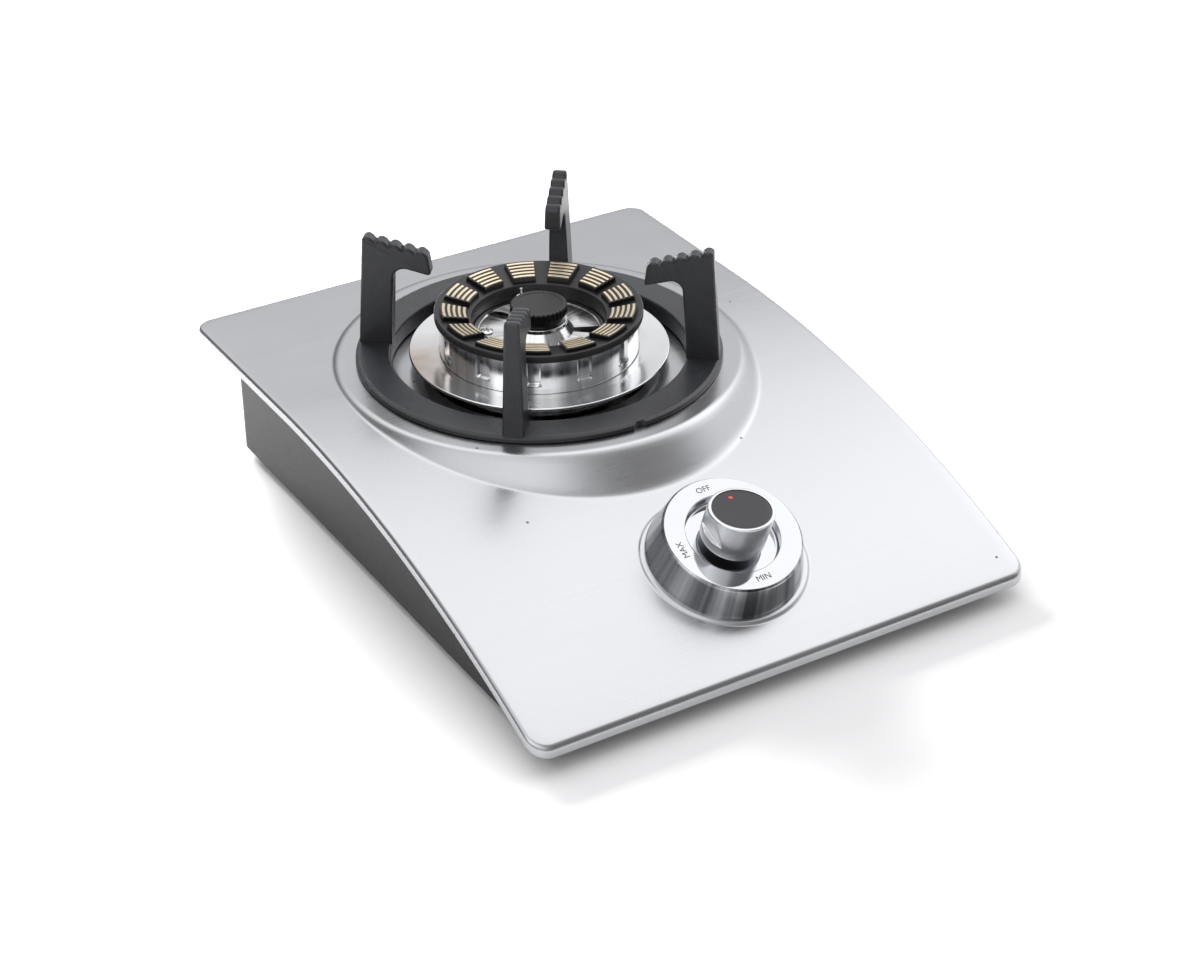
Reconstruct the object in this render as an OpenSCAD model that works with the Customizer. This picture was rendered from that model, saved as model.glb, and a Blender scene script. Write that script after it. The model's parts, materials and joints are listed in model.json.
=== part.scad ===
// Single table-top wok burner: an arched steel panel on a black tray, a lift-off
// cast pan support, a two-ring burner with a lift-off crown and cap, and one push-and-turn knob.
// Millimetres, +Z up, +X to the user's right, front towards -Y, floor at z = 0.

/* [Panel] */
// Width of the top panel across its side rims
panel_w = 306; // [296:1:330]
// Depth of the top panel from front rim to rear rim
panel_d = 398; // [390:1:412]
// Corner radius of the panel in plan
panel_corner_r = 11; // [9:0.5:16]
// Thickness of the panel sheet
panel_t = 1.2; // [0.8:0.1:1.6]
// Height of the flat rear part above the floor
panel_flat_z = 73.6; // [72.4:0.2:78]
// Depth of the flat rear part before the arch begins
panel_flat_d = 119; // [112:1:130]
// Height of the front edge of the arch above the floor
panel_front_z = 15.6; // [14.4:0.2:18]
// Depth of the rim that is folded down all round
rim_h = 6; // [5:0.5:8]

/* [Platform] */
// Distance of the burner axis from the panel's rear edge
burner_back = 141; // [137:0.5:146]
// Rise of the round platform above the flat part
land_rise = 1.7; // [0.8:0.1:4]
// Width of the platform's level edge outside the support ring
land_margin = 11.5; // [9:0.5:14]
// Slope of the platform's flank
flank_angle = 45; // [35:1:55]
// Gap between the support ring's skirt and the wall of the spill well
skirt_gap = 1; // [0.6:0.1:2]
// Depth of the spill well below the platform
well_depth = 8; // [7.5:0.1:9]
// Radius of the hole that the burner head stands in
burner_hole_r = 65; // [64:0.2:68]

/* [Body] */
// Side overhang of the panel over the tray
side_overhang = 11; // [8:0.5:16]
// Rear overhang of the panel over the tray
rear_overhang = 33; // [28:0.5:36]
// Front overhang of the panel over the tray
front_overhang = 10.5; // [8:0.5:16]
// Height of the tray's lower edge above the floor
body_z = 6; // [5:0.2:8]
// Thickness of the tray's walls
body_wall = 1; // [0.8:0.1:1.4]
// Corner radius of the tray in plan
body_corner_r = 8; // [5:0.5:14]
// Width of the flange folded in along the tray's lower edge
flange_w = 14; // [12:0.5:18]
// Thickness of the base plate
base_t = 1; // [0.8:0.1:1.4]
// Radius of a rubber foot
foot_r = 11; // [9:0.5:13]

/* [Pan support] */
// Turn of the pan support about the burner, as it is set down
support_turn = 7; // [0:1:12]
// Gap between the drip ring and the support ring
ring_gap = 10.3; // [9:0.1:12]
// Width of the support ring
ring_w = 20; // [18:0.5:22]
// Height of the ring above the platform
ring_h = 3.8; // [3:0.2:6]
// Depth of the ring's inner skirt below the platform
skirt_depth = 7; // [4:0.2:7.2]
// Height of an arm above the ring
arm_h = 64.5; // [58:0.5:72]
// Radius at which the fingers end
finger_r = 61.2; // [61:0.1:65]
// Depth of a finger at its tip
finger_h = 12; // [10:0.5:15]
// Thickness of an arm at the ring
arm_foot_t = 12.5; // [11:0.5:15]
// Thickness of an arm at its top
arm_top_t = 8.5; // [7.5:0.5:11]
// Ribs on top of each finger
finger_ribs = 5; // [4:1:6]

/* [Burner] */
// Outer radius of the burner head
head_r = 56.8; // [56:0.2:57.2]
// Height of the head's top above the platform
head_h = 24; // [23.5:0.5:28]
// Radius of the crown
crown_r = 59.2; // [59.1:0.1:60.2]
// Radius of the opening in the crown
crown_in_r = 37.8; // [37:0.1:39]
// Thickness of the crown's plate
crown_t = 4.4; // [4:0.1:6]
// Port groups round the crown
port_groups = 13; // [11:1:14]
// Strips in each port group
port_strips = 5; // [4:1:5]
// Angle that a port group covers
port_angle = 17; // [14:0.5:19]
// Recessed flutes round the head
head_flutes = 12; // [10:1:14]
// Outer radius of the drip ring
drip_r = 74.2; // [71:0.1:77]
// Radius of the inner cap
cap_r = 16.2; // [15:0.2:18]

/* [Knob] */
// Distance of the knob axis from the panel's front edge
knob_front = 66; // [63:0.5:69]
// Lean of the dial and knob beyond the panel's slope
knob_lean = 4; // [2:0.5:5]
// Radius of the dial ring at its foot
bezel_foot_r = 42.5; // [41:0.5:43]
// Radius of the dial ring at its top
bezel_top_r = 37.5; // [36:0.5:39]
// Height of the dial ring
bezel_h = 21; // [19:0.5:22]
// Radius of the sunk well in the dial ring
dial_well_r = 25.4; // [23:0.2:28]
// Radius of the knob
knob_r = 17.5; // [16:0.5:19]
// Height of the middle of the knob's top above the panel
knob_top_h = 41; // [39:0.5:44]
// Slope of the knob's top against its axis
knob_slope = 14; // [10:0.5:16]
// Half the width over the knob's side flats at their foot
knob_grip = 14.6; // [13.6:0.2:15.2]
// Push travel of the knob
knob_push = 3.5; // [2.5:0.1:3.8]
// Radius of the valve spindle
spindle_r = 4; // [3.5:0.1:4.5]

/* [Gas] */
// Outer radius of the gas pipes
pipe_r = 4; // [3.5:0.1:4.5]
// Bore radius of the gas pipes
pipe_bore_r = 3; // [2.5:0.1:3.2]
// Radius of the hose nozzle's barbs
nozzle_r = 4.75; // [4.5:0.05:5.5]
// Length of the hose nozzle behind the tray
nozzle_l = 20; // [18:0.5:21]
// Outer radius of the outer ring's mixing tube
outer_mix_r = 12; // [11:0.2:13]
// Outer radius of the inner ring's mixing tube
inner_mix_r = 8.5; // [8:0.1:9.5]

/* [Hidden] */
$fn = 96;
// Overrun of every cut
cut = 1;
// Gap under pieces that only rest on their seat
seat_gap = 0.2;
// Gap between pieces that are fixed face to face
fit_gap = 0.05;
// Gap round pieces that lift out
lift_gap = 0.3;
// Radial clearance of a shaft that turns
run_gap = 0.05;
// Sides of the long arch and of small round pieces
arch_fn = 720;
small_fn = 48;

// Burner and knob axes, measured from the panel's centre
burner_y = panel_d / 2 - burner_back;
knob_y = knob_front - panel_d / 2;

// Arch of the panel: a circle that starts level at arch_y and falls to the front edge
arch_y = panel_d / 2 - panel_flat_d;
arch_run = arch_y + panel_d / 2;
arch_drop = panel_flat_z - panel_front_z;
arch_r = (pow(arch_run, 2) + pow(arch_drop, 2)) / (2 * arch_drop);
function skin_z(y) = y >= arch_y ? panel_flat_z
    : panel_flat_z - arch_r + sqrt(pow(arch_r, 2) - pow(arch_y - y, 2));
function skin_slope(y) = y >= arch_y ? 0 : asin((arch_y - y) / arch_r);

// Platform, well and the rings set in them
skirt_t = 4;
ring_in_r = drip_r + ring_gap;
ring_r = ring_in_r + ring_w;
well_r = ring_in_r + skirt_t + skirt_gap;
land_r = ring_r + land_margin;
land_z = panel_flat_z + land_rise;
well_z = land_z - well_depth;
flank_h = land_z - panel_front_z;

// Tray
body_w = panel_w - 2 * side_overhang;
body_rear_y = panel_d / 2 - rear_overhang;
body_front_y = front_overhang - panel_d / 2;
body_d = body_rear_y - body_front_y;
body_mid_y = (body_rear_y + body_front_y) / 2;
flange_z = body_z + base_t + fit_gap;
flange_top_z = flange_z + body_wall;
plate_top_z = body_z + base_t;
vent_l = 46;
vent_w = 4;
vent_pitch = 14;
vents = 5;
rear_vent_w = 20;
rear_vent_h = 3;
rear_vent_pitch = 30;
rear_vents = 6;
rear_vent_z = panel_flat_z - rim_h - 4 * rear_vent_h;

// Feet and screws
foot_edge = 3;
foot_rear_x = body_w / 2 - foot_r - foot_edge;
foot_front_x = body_w / 2 - flange_w - 2 * foot_r;
foot_rear_y = body_rear_y - flange_w - 2 * foot_r;
foot_front_y = body_front_y + foot_r + foot_edge;
foot_spots = [[-foot_rear_x, foot_rear_y], [foot_rear_x, foot_rear_y],
    [-foot_front_x, foot_front_y], [foot_front_x, foot_front_y]];
foot_taper = 1;
foot_cup_r = 4.5;
foot_cup_h = 2.6;
screw_r = 2;
screw_head_r = 3.8;
screw_head_h = 1.8;
screw_l = 8;
plate_screw_inset = body_wall + flange_w / 2;
plate_screw_share = 0.3;
plate_screw_spots = [for (sx = [-1, 1], sy = [-1, 1])
    [sx * (body_w / 2 - plate_screw_inset), body_mid_y + sy * plate_screw_share * body_d]];

// Corner brackets that hold the panel to the tray
bracket_leg = 16;
bracket_w = 18;
bracket_t = 1.5;
bracket_rear_y = body_rear_y - 2 * bracket_w;
bracket_front_y = body_front_y + 2 * bracket_w;

// Pan support
ring_z = land_z + seat_gap;
ring_top_z = land_z + ring_h;
ring_edge = 2.4;
arm_draft = 5;
finger_slope = 14.5;
under_slope = 15.5;
arm_lean = 3.2;
arm_fillet_r = 4.5;
arm_line_z = ring_top_z + arm_h;
arm_out_r = ring_r - arm_h * tan(arm_draft);
rib_r = 2.9;
rib_rise = 1.7;
notch_r = 5;
notch_share = 0.6;
notch_turn = -95.5;
function arm_top_at(r) = arm_line_z - (arm_out_r - r) * tan(finger_slope);
function arm_under_at(r) = arm_top_at(finger_r) - finger_h + (r - finger_r) * tan(under_slope);

// Burner head: rings, hub and shoulder
head_z = land_z + head_h;
head_wall = 3.5;
head_floor_t = 3;
head_sink = 3.2;
head_base_z = well_z - head_sink;
shoulder_share = 0.29;
shoulder_w = shoulder_share * (drip_r - head_r);
inner_wall_t = 3;
inner_wall_r = crown_in_r - lift_gap;
inner_wall_drop = 2;
hub_r = 15.5;
hub_bore_r = 12.5;
hub_root = 2;
hub_drop = 2.5;
hub_z = head_z - hub_drop;
hub_flare_r = 25;
hub_flare_h = 11;
hub_band = 2;
spoke_t = 8;
spoke_drop = 15;
spoke_z = hub_z - spoke_drop;
spoke_spans = [[118, 70], [-26, 94], [-87, 46]];
spoke_screw_angles = [155, -74];
spoke_screw_r = (hub_flare_r + inner_wall_r - inner_wall_t) / 2;
flute_w = 8.5;
flute_depth = 1.5;
flute_foot = 3;
flute_turn = -123.6;
lug_r = 5;
lug_h = 3;
electrode_angle = 80;
electrode_r = 29.3;

// Drip ring
drip_t = 1.2;
drip_in_r = head_r + lift_gap;
drip_flat_r = head_r + shoulder_w + lift_gap;
drip_fall = 1.6;
drip_lip = 1.6;
shoulder_h = 4.7;
shoulder_z = land_z + shoulder_h;
drip_z = shoulder_z + seat_gap + drip_t;

// Crown and its ports
crown_z = head_z + seat_gap;
crown_top_z = crown_z + crown_t;
crown_skirt_h = 3.5;
crown_skirt_t = 2;
crown_bevel = 1;
strip_w = 1.8;
strip_pitch = 3.1;
strip_in_r = 41.6;
strip_h = 1.2;
strip_step = 0.15;
slit_margin = 3;
port_turn = -122.3;
strip_top_z = crown_top_z + strip_h + port_strips * strip_step;

// Inner cap
cap_seat_z = hub_z + seat_gap;
cap_neck_r = hub_bore_r - lift_gap;
cap_neck_l = 7;
cap_neck_t = 2;
cap_waist_r = 14.4;
cap_waist_h = 4;
cap_h = 5.4;
cap_bevel = 0.8;
cap_notches = 36;
cap_notch_r = 0.6;
cap_top_z = cap_seat_z + cap_waist_h + cap_h;

// Ignition electrode
insulator_r = 2.8;
insulator_l = 25;
insulator_tail = 8;
collar_r = 4;
collar_h = 2;
pin_r = 0.9;
pin_rise = 5;
electrode_x = electrode_r * cos(electrode_angle);
electrode_y = burner_y + electrode_r * sin(electrode_angle);
lug_drop = 2;
lug_z = spoke_z - lug_drop;
insulator_z = lug_z - insulator_tail;

// Knob axis, square to the panel, and what sits on it
knob_tilt = skin_slope(knob_y) + knob_lean;
knob_z = skin_z(knob_y);
hole_reach = 8;
foot_reach = bezel_foot_r * tan(knob_lean) + pow(bezel_foot_r, 2) / (2 * arch_r);
dial_screw_h = -panel_t / cos(knob_lean) - screw_head_r * tan(knob_lean) - fit_gap;
bezel_wall = 2;
dial_depth = 6;
dial_floor_h = bezel_h - dial_depth;
dial_hole_r = 8;
bezel_round = 0.8;
boss_r = 3.5;
boss_spot = 31;
knob_clear = 0.7;
knob_bottom_h = dial_floor_h + knob_push + knob_clear;
knob_edge = 1;
grip_foot = 7;
grip_foot_h = knob_bottom_h + grip_foot;
grip_top_h = knob_top_h - knob_edge;
knob_high_h = knob_top_h + knob_r * tan(knob_slope) + cut;
inlay_rim = 1.9;
inlay_t = 1;
inlay_sink = 0.25;
pointer_r = 1.2;
pointer_spot = 10.4;
knob_crown_t = 6;
knob_bore_top_h = knob_top_h - knob_crown_t;

// Valve on the knob axis
valve_r = 12;
valve_top_h = -8;
valve_bottom_h = -27.5;
neck_r = 7;
neck_top_h = 3;
panel_neck_r = 8;
plug_r = 6;
plug_top_h = -15;
plug_bottom_h = -23.7;
chamber_top_h = -12;
chamber_bottom_h = -23.9;
tang_w = 6;
tang_t = 1.8;
tang_gap = 0.1;
tang_l = 8;
spindle_bottom_h = plug_top_h + knob_push + lift_gap;
spindle_top_h = knob_bore_top_h - lift_gap;
spindle_ring_r = 6.4;
spindle_ring_t = 1;
spring_len = 6.9;
spring_wire_r = 0.4;
spring_turns = 4;
spring_r = 5.2;
spring_rings = 8;
spring_sides = 6;
spring_end_gap = 0.15;
spring_bottom_h = neck_top_h + spring_wire_r + spring_end_gap;
spring_ring_h = neck_top_h + spring_len;
spring_rise = spring_ring_h - spring_bottom_h - spring_wire_r - spring_end_gap;
port_h = -17.5;
port_y = knob_y - port_h * sin(knob_tilt);
port_z = knob_z + port_h * cos(knob_tilt);
port_boss_r = 6.5;
port_boss_l = 16;
valve_foot_w = 18;
valve_foot_d = 16;
valve_foot_back = 6;
valve_foot_y = port_y + valve_foot_back;
valve_plate_w = 46;
valve_plate_t = 2;
valve_plate_top_z = plate_top_z + fit_gap + valve_plate_t;
valve_plate_front = 46;
valve_plate_rear = valve_foot_d;

// Piezo igniter in front of the valve
piezo_w = 24;
piezo_d = 15;
piezo_h = 15;
piezo_edge = 2;
piezo_y = valve_foot_y - valve_plate_front + piezo_d / 2 + piezo_edge;
piezo_tip_z = valve_plate_top_z + piezo_h / 2;
piezo_tip_r = 2;
piezo_tip_l = 4;

// Mixing tubes, jets and pipes
mix_z = port_z;
mix_wall = 1.6;
mix_lead = 50;
mix_mouth_y = port_y + mix_lead;
mix_bell = 3;
mix_bell_l = 9;
outer_mix_x = 28;
outer_riser_y = burner_y - sqrt(pow((head_r + inner_wall_r) / 2, 2) - pow(outer_mix_x, 2));
riser_in = 1.5;
jet_gap = 5;
jet_hex_r = 6;
jet_hex_l = 8;
jet_tip_r = 3.2;
jet_tip_l = 7;
jet_bore_r = 0.7;
jet_y = mix_mouth_y - jet_gap;
pipe_end_y = jet_y - jet_hex_l;
outer_bend_r = 9;
inlet_bend_r = 18;
inlet_x = -95;
inlet_collar_r = 8;
inlet_collar_t = 5;
inlet_hole_r = 6;
barb_count = 3;
barb_depth = 0.75;
nozzle_neck_l = 4;

// Posts that carry the burner head
post_inset = 3;
post_x = head_r - post_inset;
post_w = 22;
post_t = 1.5;
post_foot = 18;
post_top = 7;
post_top_z = head_base_z - fit_gap;

// Route of the igniter lead, chosen by hand
lead_r = 1.4;
lead_sides = 8;
lead_route = [[electrode_x, electrode_y, insulator_z - fit_gap], [electrode_x, electrode_y, 62],
    [0, burner_y + 31, 48], [-22, burner_y + 25, 34], [-34, burner_y + 1, 24], [-36, burner_y - 39, 17],
    [-36, (burner_y + knob_y) / 2, 14], [-36, knob_y + 33, 13], [-36, knob_y - 2, 13],
    [-34, knob_y - 17, 15], [-26, piezo_y, piezo_tip_z],
    [-piezo_w / 2 - piezo_tip_l - fit_gap, piezo_y, piezo_tip_z]];

// Shared shapes

module rounded_plate(w, d, r) {
    square([w - 2 * r, d], center = true);
    square([w, d - 2 * r], center = true);
    for (sx = [-1, 1], sy = [-1, 1])
        translate([sx * (w / 2 - r), sy * (d / 2 - r)]) circle(r);
}

module panel_prism(inset) {
    translate([0, 0, -cut]) linear_extrude(land_z + 2 * cut)
        rounded_plate(panel_w - 2 * inset, panel_d - 2 * inset, panel_corner_r - inset);
}

// All that lies under the panel's top face, lowered square to it by drop
module under_skin(drop) {
    rotate([90, 0, 90]) translate([0, 0, -panel_w]) linear_extrude(2 * panel_w) {
        translate([arch_y, -cut]) square([panel_d, panel_flat_z - drop + cut]);
        intersection() {
            translate([arch_y, panel_flat_z - arch_r]) circle(arch_r - drop, $fn = arch_fn);
            translate([arch_y - panel_d, -cut]) square([panel_d, panel_flat_z + cut]);
        }
    }
}

module at_burner() {
    translate([0, burner_y, 0]) children();
}

module at_knob() {
    translate([0, knob_y, knob_z]) rotate([knob_tilt, 0, 0]) children();
}

// Round block from z = low to z = high
module disc(r, low, high) {
    translate([0, 0, low]) cylinder(r = r, h = high - low);
}

module tray_prism(inset, low, high) {
    translate([0, body_mid_y, low]) linear_extrude(high - low)
        rounded_plate(body_w - 2 * inset, body_d - 2 * inset, body_corner_r - inset);
}

// Pan-head screw driven upwards, with the head's bearing face at z = 0
module screw_up(length) {
    disc(screw_head_r, -screw_head_h, 0);
    disc(screw_r, 0, length);
}

// Straight pipe along Y between two places on its axis
module pipe_y(r, bore, x, z, from_y, to_y) {
    translate([x, from_y, z]) rotate([-90, 0, 0]) difference() {
        cylinder(r = r, h = to_y - from_y, $fn = small_fn);
        translate([0, 0, -cut]) cylinder(r = bore, h = to_y - from_y + 2 * cut, $fn = small_fn);
    }
}

// Pipe along X out of the valve's side, round one bend and back along +Y
module bent_pipe(side, start_x, run_x, bend_r, end_y) {
    translate([0, port_y, port_z]) mirror([side > 0 ? 0 : 1, 0, 0]) {
        translate([start_x, 0, 0]) rotate([0, 90, 0]) difference() {
            cylinder(r = pipe_r, h = run_x - bend_r - start_x, $fn = small_fn);
            translate([0, 0, -cut])
                cylinder(r = pipe_bore_r, h = run_x - bend_r - start_x + 2 * cut, $fn = small_fn);
        }
        translate([run_x - bend_r, bend_r, 0]) rotate([0, 0, -90]) rotate_extrude(angle = 90)
            translate([bend_r, 0]) difference() {
                circle(pipe_r, $fn = small_fn);
                circle(pipe_bore_r, $fn = small_fn);
            }
        translate([run_x, bend_r, 0]) rotate([-90, 0, 0]) difference() {
            cylinder(r = pipe_r, h = end_y - port_y - bend_r, $fn = small_fn);
            translate([0, 0, -cut])
                cylinder(r = pipe_bore_r, h = end_y - port_y - bend_r + 2 * cut, $fn = small_fn);
        }
    }
}

// Closed tube of the given radius along a list of points
function unit(v) = v / norm(v);
function along(path, i) = unit(path[min(i + 1, len(path) - 1)] - path[max(i - 1, 0)]);
function across(t) = unit(cross(t, abs(t[2]) < abs(t[0]) ? [0, 0, 1] : [1, 0, 0]));
module swept_tube(path, r, sides) {
    n = len(path);
    rings = [for (i = [0 : n - 1], k = [0 : sides - 1])
        let (t = along(path, i), u = across(t), v = cross(t, u), a = 360 * k / sides)
        path[i] + r * (cos(a) * u + sin(a) * v)];
    walls = [for (i = [0 : n - 2], k = [0 : sides - 1])
        let (a = i * sides + k, b = i * sides + (k + 1) % sides)
        each [[a, a + sides, b], [b, a + sides, b + sides]]];
    first_cap = [for (k = [1 : sides - 2]) [0, k, k + 1]];
    last = (n - 1) * sides;
    last_cap = [for (k = [1 : sides - 2]) [last, last + k + 1, last + k]];
    polyhedron(rings, concat(walls, first_cap, last_cap));
}

// Panel and tray

module platform(drop) {
    top_r = land_r - drop * tan(flank_angle / 2);
    at_burner() translate([0, 0, land_z - drop - flank_h])
        cylinder(r1 = top_r + flank_h / tan(flank_angle), r2 = top_r, h = flank_h);
}

module top_panel() {
    color("lightgray") {
        difference() {
            union() {
                intersection() {
                    panel_prism(0);
                    difference() {
                        under_skin(0);
                        under_skin(rim_h);
                    }
                }
                intersection() {
                    panel_prism(panel_t);
                    platform(0);
                }
            }
            intersection() {
                panel_prism(panel_t);
                union() {
                    under_skin(panel_t);
                    platform(panel_t);
                }
            }
            at_knob() {
                disc(panel_neck_r, -hole_reach, hole_reach);
                for (side = [-1, 1]) translate([side * boss_spot, 0, 0])
                    disc(screw_r + lift_gap, -hole_reach, hole_reach, $fn = small_fn);
            }
            at_burner() disc(well_r, well_z, land_z + cut);
        }
        at_burner() difference() {
            disc(well_r + panel_t, well_z - panel_t, land_z);
            disc(well_r, well_z, land_z + cut);
            disc(burner_hole_r, well_z - panel_t - cut, land_z);
        }
    }
}

// Angle under the panel's edge: one leg on the tray's wall, one under the sheet
module panel_bracket(side, y) {
    wall_x = body_w / 2 - body_wall - fit_gap;
    translate([0, y, skin_z(y)]) rotate([skin_slope(y), 0, 0])
        translate([side * wall_x, 0, -panel_t - seat_gap]) mirror([side > 0 ? 1 : 0, 0, 0]) {
            translate([0, -bracket_w / 2, -bracket_leg]) cube([bracket_t, bracket_w, bracket_leg]);
            translate([0, -bracket_w / 2, -bracket_t]) cube([bracket_leg, bracket_w, bracket_t]);
        }
}

module panel_brackets() {
    color("gainsboro") for (side = [-1, 1], y = [bracket_rear_y, bracket_front_y]) panel_bracket(side, y);
}

module body_tray() {
    color("#2a2a2c") {
        difference() {
            intersection() {
                tray_prism(0, body_z, land_z);
                under_skin(panel_t + fit_gap);
            }
            tray_prism(body_wall, body_z - cut, land_z + cut);
            translate([inlet_x, body_rear_y, port_z]) rotate([90, 0, 0])
                translate([0, 0, -cut]) cylinder(r = inlet_hole_r, h = body_wall + 2 * cut, $fn = small_fn);
            for (i = [0 : rear_vents - 1])
                translate([(i - (rear_vents - 1) / 2) * rear_vent_pitch - rear_vent_w / 2,
                    body_rear_y - body_wall - cut, rear_vent_z])
                    cube([rear_vent_w, body_wall + 2 * cut, rear_vent_h]);
        }
        difference() {
            tray_prism(body_wall / 2, flange_z, flange_top_z);
            translate([0, body_mid_y, flange_z - cut]) linear_extrude(body_wall + 2 * cut)
                rounded_plate(body_w - 2 * (body_wall + flange_w), body_d - 2 * (body_wall + flange_w),
                    body_corner_r);
            for (spot = plate_screw_spots) translate(spot)
                disc(screw_r + fit_gap, flange_z - cut, flange_top_z + cut, $fn = small_fn);
            for (spot = foot_spots) translate(spot)
                disc(foot_cup_r, flange_z - cut, flange_top_z + cut, $fn = small_fn);
        }
    }
}

module base_plate() {
    color("#3a3a3c") difference() {
        tray_prism(body_wall + lift_gap, body_z, plate_top_z);
        for (spot = concat(plate_screw_spots, foot_spots)) translate(spot)
            disc(screw_r + fit_gap, body_z - cut, plate_top_z + cut, $fn = small_fn);
        for (side = [-1, 1]) {
            translate([side * (post_x + post_foot / 2), burner_y])
                disc(screw_r + fit_gap, body_z - cut, plate_top_z + cut, $fn = small_fn);
            translate([side * valve_plate_w / 3, valve_foot_y])
                disc(screw_r + fit_gap, body_z - cut, plate_top_z + cut, $fn = small_fn);
            for (i = [0 : vents - 1])
                translate([side * (post_x + post_foot) - (side < 0 ? vent_l : 0),
                    burner_y - head_r - (i + 1) * vent_pitch, body_z - cut])
                    cube([vent_l, vent_w, base_t + 2 * cut]);
        }
    }
}

module plate_screws() {
    color("silver") for (spot = plate_screw_spots)
        translate([spot[0], spot[1], body_z - fit_gap]) screw_up(screw_l);
}

// Rubber foot with a cup for its screw
module feet() {
    color("#1c1c1c") for (spot = foot_spots) translate(spot) difference() {
        cylinder(r1 = foot_r - foot_taper, r2 = foot_r, h = body_z - fit_gap);
        disc(foot_cup_r, -cut, foot_cup_h, $fn = small_fn);
        disc(screw_r + fit_gap, -cut, body_z, $fn = small_fn);
    }
}

module foot_screws() {
    color("silver") for (spot = foot_spots)
        translate([spot[0], spot[1], foot_cup_h - fit_gap]) screw_up(screw_l);
}

// Pan support

module arm_outline() {
    corner_r = ring_in_r - arm_lean;
    pitch = (arm_out_r - finger_r) / finger_ribs;
    difference() {
        polygon([[ring_in_r, ring_z], [ring_r - ring_edge / 2, ring_z], [arm_out_r, arm_line_z],
            [finger_r, arm_top_at(finger_r)], [finger_r, arm_under_at(finger_r)],
            [corner_r - arm_fillet_r, arm_under_at(corner_r - arm_fillet_r)],
            [corner_r, arm_under_at(corner_r) - arm_fillet_r]]);
        translate([corner_r - arm_fillet_r, arm_under_at(corner_r) - arm_fillet_r])
            circle(arm_fillet_r, $fn = small_fn);
    }
    for (i = [0 : finger_ribs - 1]) {
        r = finger_r + (i + 0.5) * pitch;
        translate([r, arm_top_at(r) + rib_rise - rib_r]) circle(rib_r, $fn = small_fn);
    }
}

module support_arm() {
    intersection() {
        rotate([90, 0, 0]) translate([0, 0, -arm_foot_t]) linear_extrude(2 * arm_foot_t) arm_outline();
        rotate([90, 0, 90]) linear_extrude(ring_r + cut)
            polygon([[-arm_foot_t / 2, ring_z], [arm_foot_t / 2, ring_z],
                [arm_top_t / 2, arm_line_z + rib_r], [-arm_top_t / 2, arm_line_z + rib_r]]);
    }
}

module pan_support() {
    color("#3b3c3e") at_burner() rotate([0, 0, support_turn]) {
        difference() {
            rotate_extrude() polygon([[ring_in_r, land_z - skirt_depth],
                [ring_in_r + skirt_t, land_z - skirt_depth], [ring_in_r + skirt_t, ring_z],
                [ring_r, ring_z], [ring_r, ring_top_z - ring_edge / 2],
                [ring_r - ring_edge, ring_top_z], [ring_in_r, ring_top_z]]);
            rotate([0, 0, notch_turn]) translate([ring_r + notch_r * notch_share, 0])
                disc(notch_r, ring_z - cut, ring_top_z + cut, $fn = small_fn);
        }
        for (i = [0 : 3]) rotate([0, 0, 45 + 90 * i]) support_arm();
    }
}

// Burner

module drip_ring() {
    color("gainsboro") at_burner() rotate_extrude() polygon([
        [drip_in_r, drip_z - drip_t], [drip_flat_r, drip_z - drip_t],
        [drip_r - drip_t, drip_z - drip_fall - drip_t], [drip_r - drip_t, drip_z - drip_fall - drip_lip],
        [drip_r, drip_z - drip_fall - drip_lip], [drip_r, drip_z - drip_fall],
        [drip_flat_r, drip_z], [drip_in_r, drip_z]]);
}

module head_outline() {
    floor_z = head_base_z + head_floor_t;
    polygon([[inner_wall_r - inner_wall_t, head_base_z], [head_r + shoulder_w, head_base_z],
        [head_r + shoulder_w, shoulder_z], [head_r, shoulder_z], [head_r, head_z],
        [head_r - head_wall, head_z], [head_r - head_wall, floor_z],
        [inner_wall_r, floor_z], [inner_wall_r, head_z - inner_wall_drop],
        [inner_wall_r - inner_wall_t, head_z - inner_wall_drop]]);
}

module hub_outline() {
    flare_top_z = hub_z - hub_band;
    polygon([[inner_mix_r - mix_wall, head_base_z], [hub_r, head_base_z],
        [hub_flare_r, flare_top_z - hub_flare_h], [hub_r, flare_top_z], [hub_r, hub_z],
        [hub_bore_r, hub_z], [hub_bore_r, spoke_z], [inner_mix_r - mix_wall, spoke_z]]);
}

module burner_head() {
    color("silver") at_burner() difference() {
        union() {
            rotate_extrude() head_outline();
            rotate_extrude() hub_outline();
            for (span = spoke_spans) rotate([0, 0, span[0]]) rotate_extrude(angle = span[1])
                translate([hub_bore_r + hub_root, spoke_z])
                    square([inner_wall_r - inner_wall_t / 2 - hub_bore_r - hub_root, spoke_t]);
            rotate([0, 0, electrode_angle]) translate([electrode_r, -lug_r, lug_z])
                cube([inner_wall_r - inner_wall_t / 2 - electrode_r, 2 * lug_r, lug_h]);
            rotate([0, 0, electrode_angle]) translate([electrode_r, 0]) disc(lug_r, lug_z, lug_z + lug_h);
        }
        for (i = [0 : head_flutes - 1]) rotate([0, 0, flute_turn + 360 * i / head_flutes])
            translate([head_r - flute_depth, -flute_w / 2, drip_z + flute_foot])
                cube([flute_depth + cut, flute_w, head_z - drip_z - flute_foot + cut]);
        rotate([0, 0, electrode_angle]) translate([electrode_r, 0])
            disc(insulator_r + fit_gap, head_base_z, head_z, $fn = small_fn);
        for (a = spoke_screw_angles) rotate([0, 0, a]) translate([spoke_screw_r, 0])
            disc(screw_r + fit_gap, spoke_z - cut, spoke_z + spoke_t + cut, $fn = small_fn);
        translate([outer_mix_x, outer_riser_y - burner_y])
            disc(outer_mix_r - riser_in - mix_wall, head_base_z - cut, head_base_z + head_floor_t + cut);
    }
}

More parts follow.
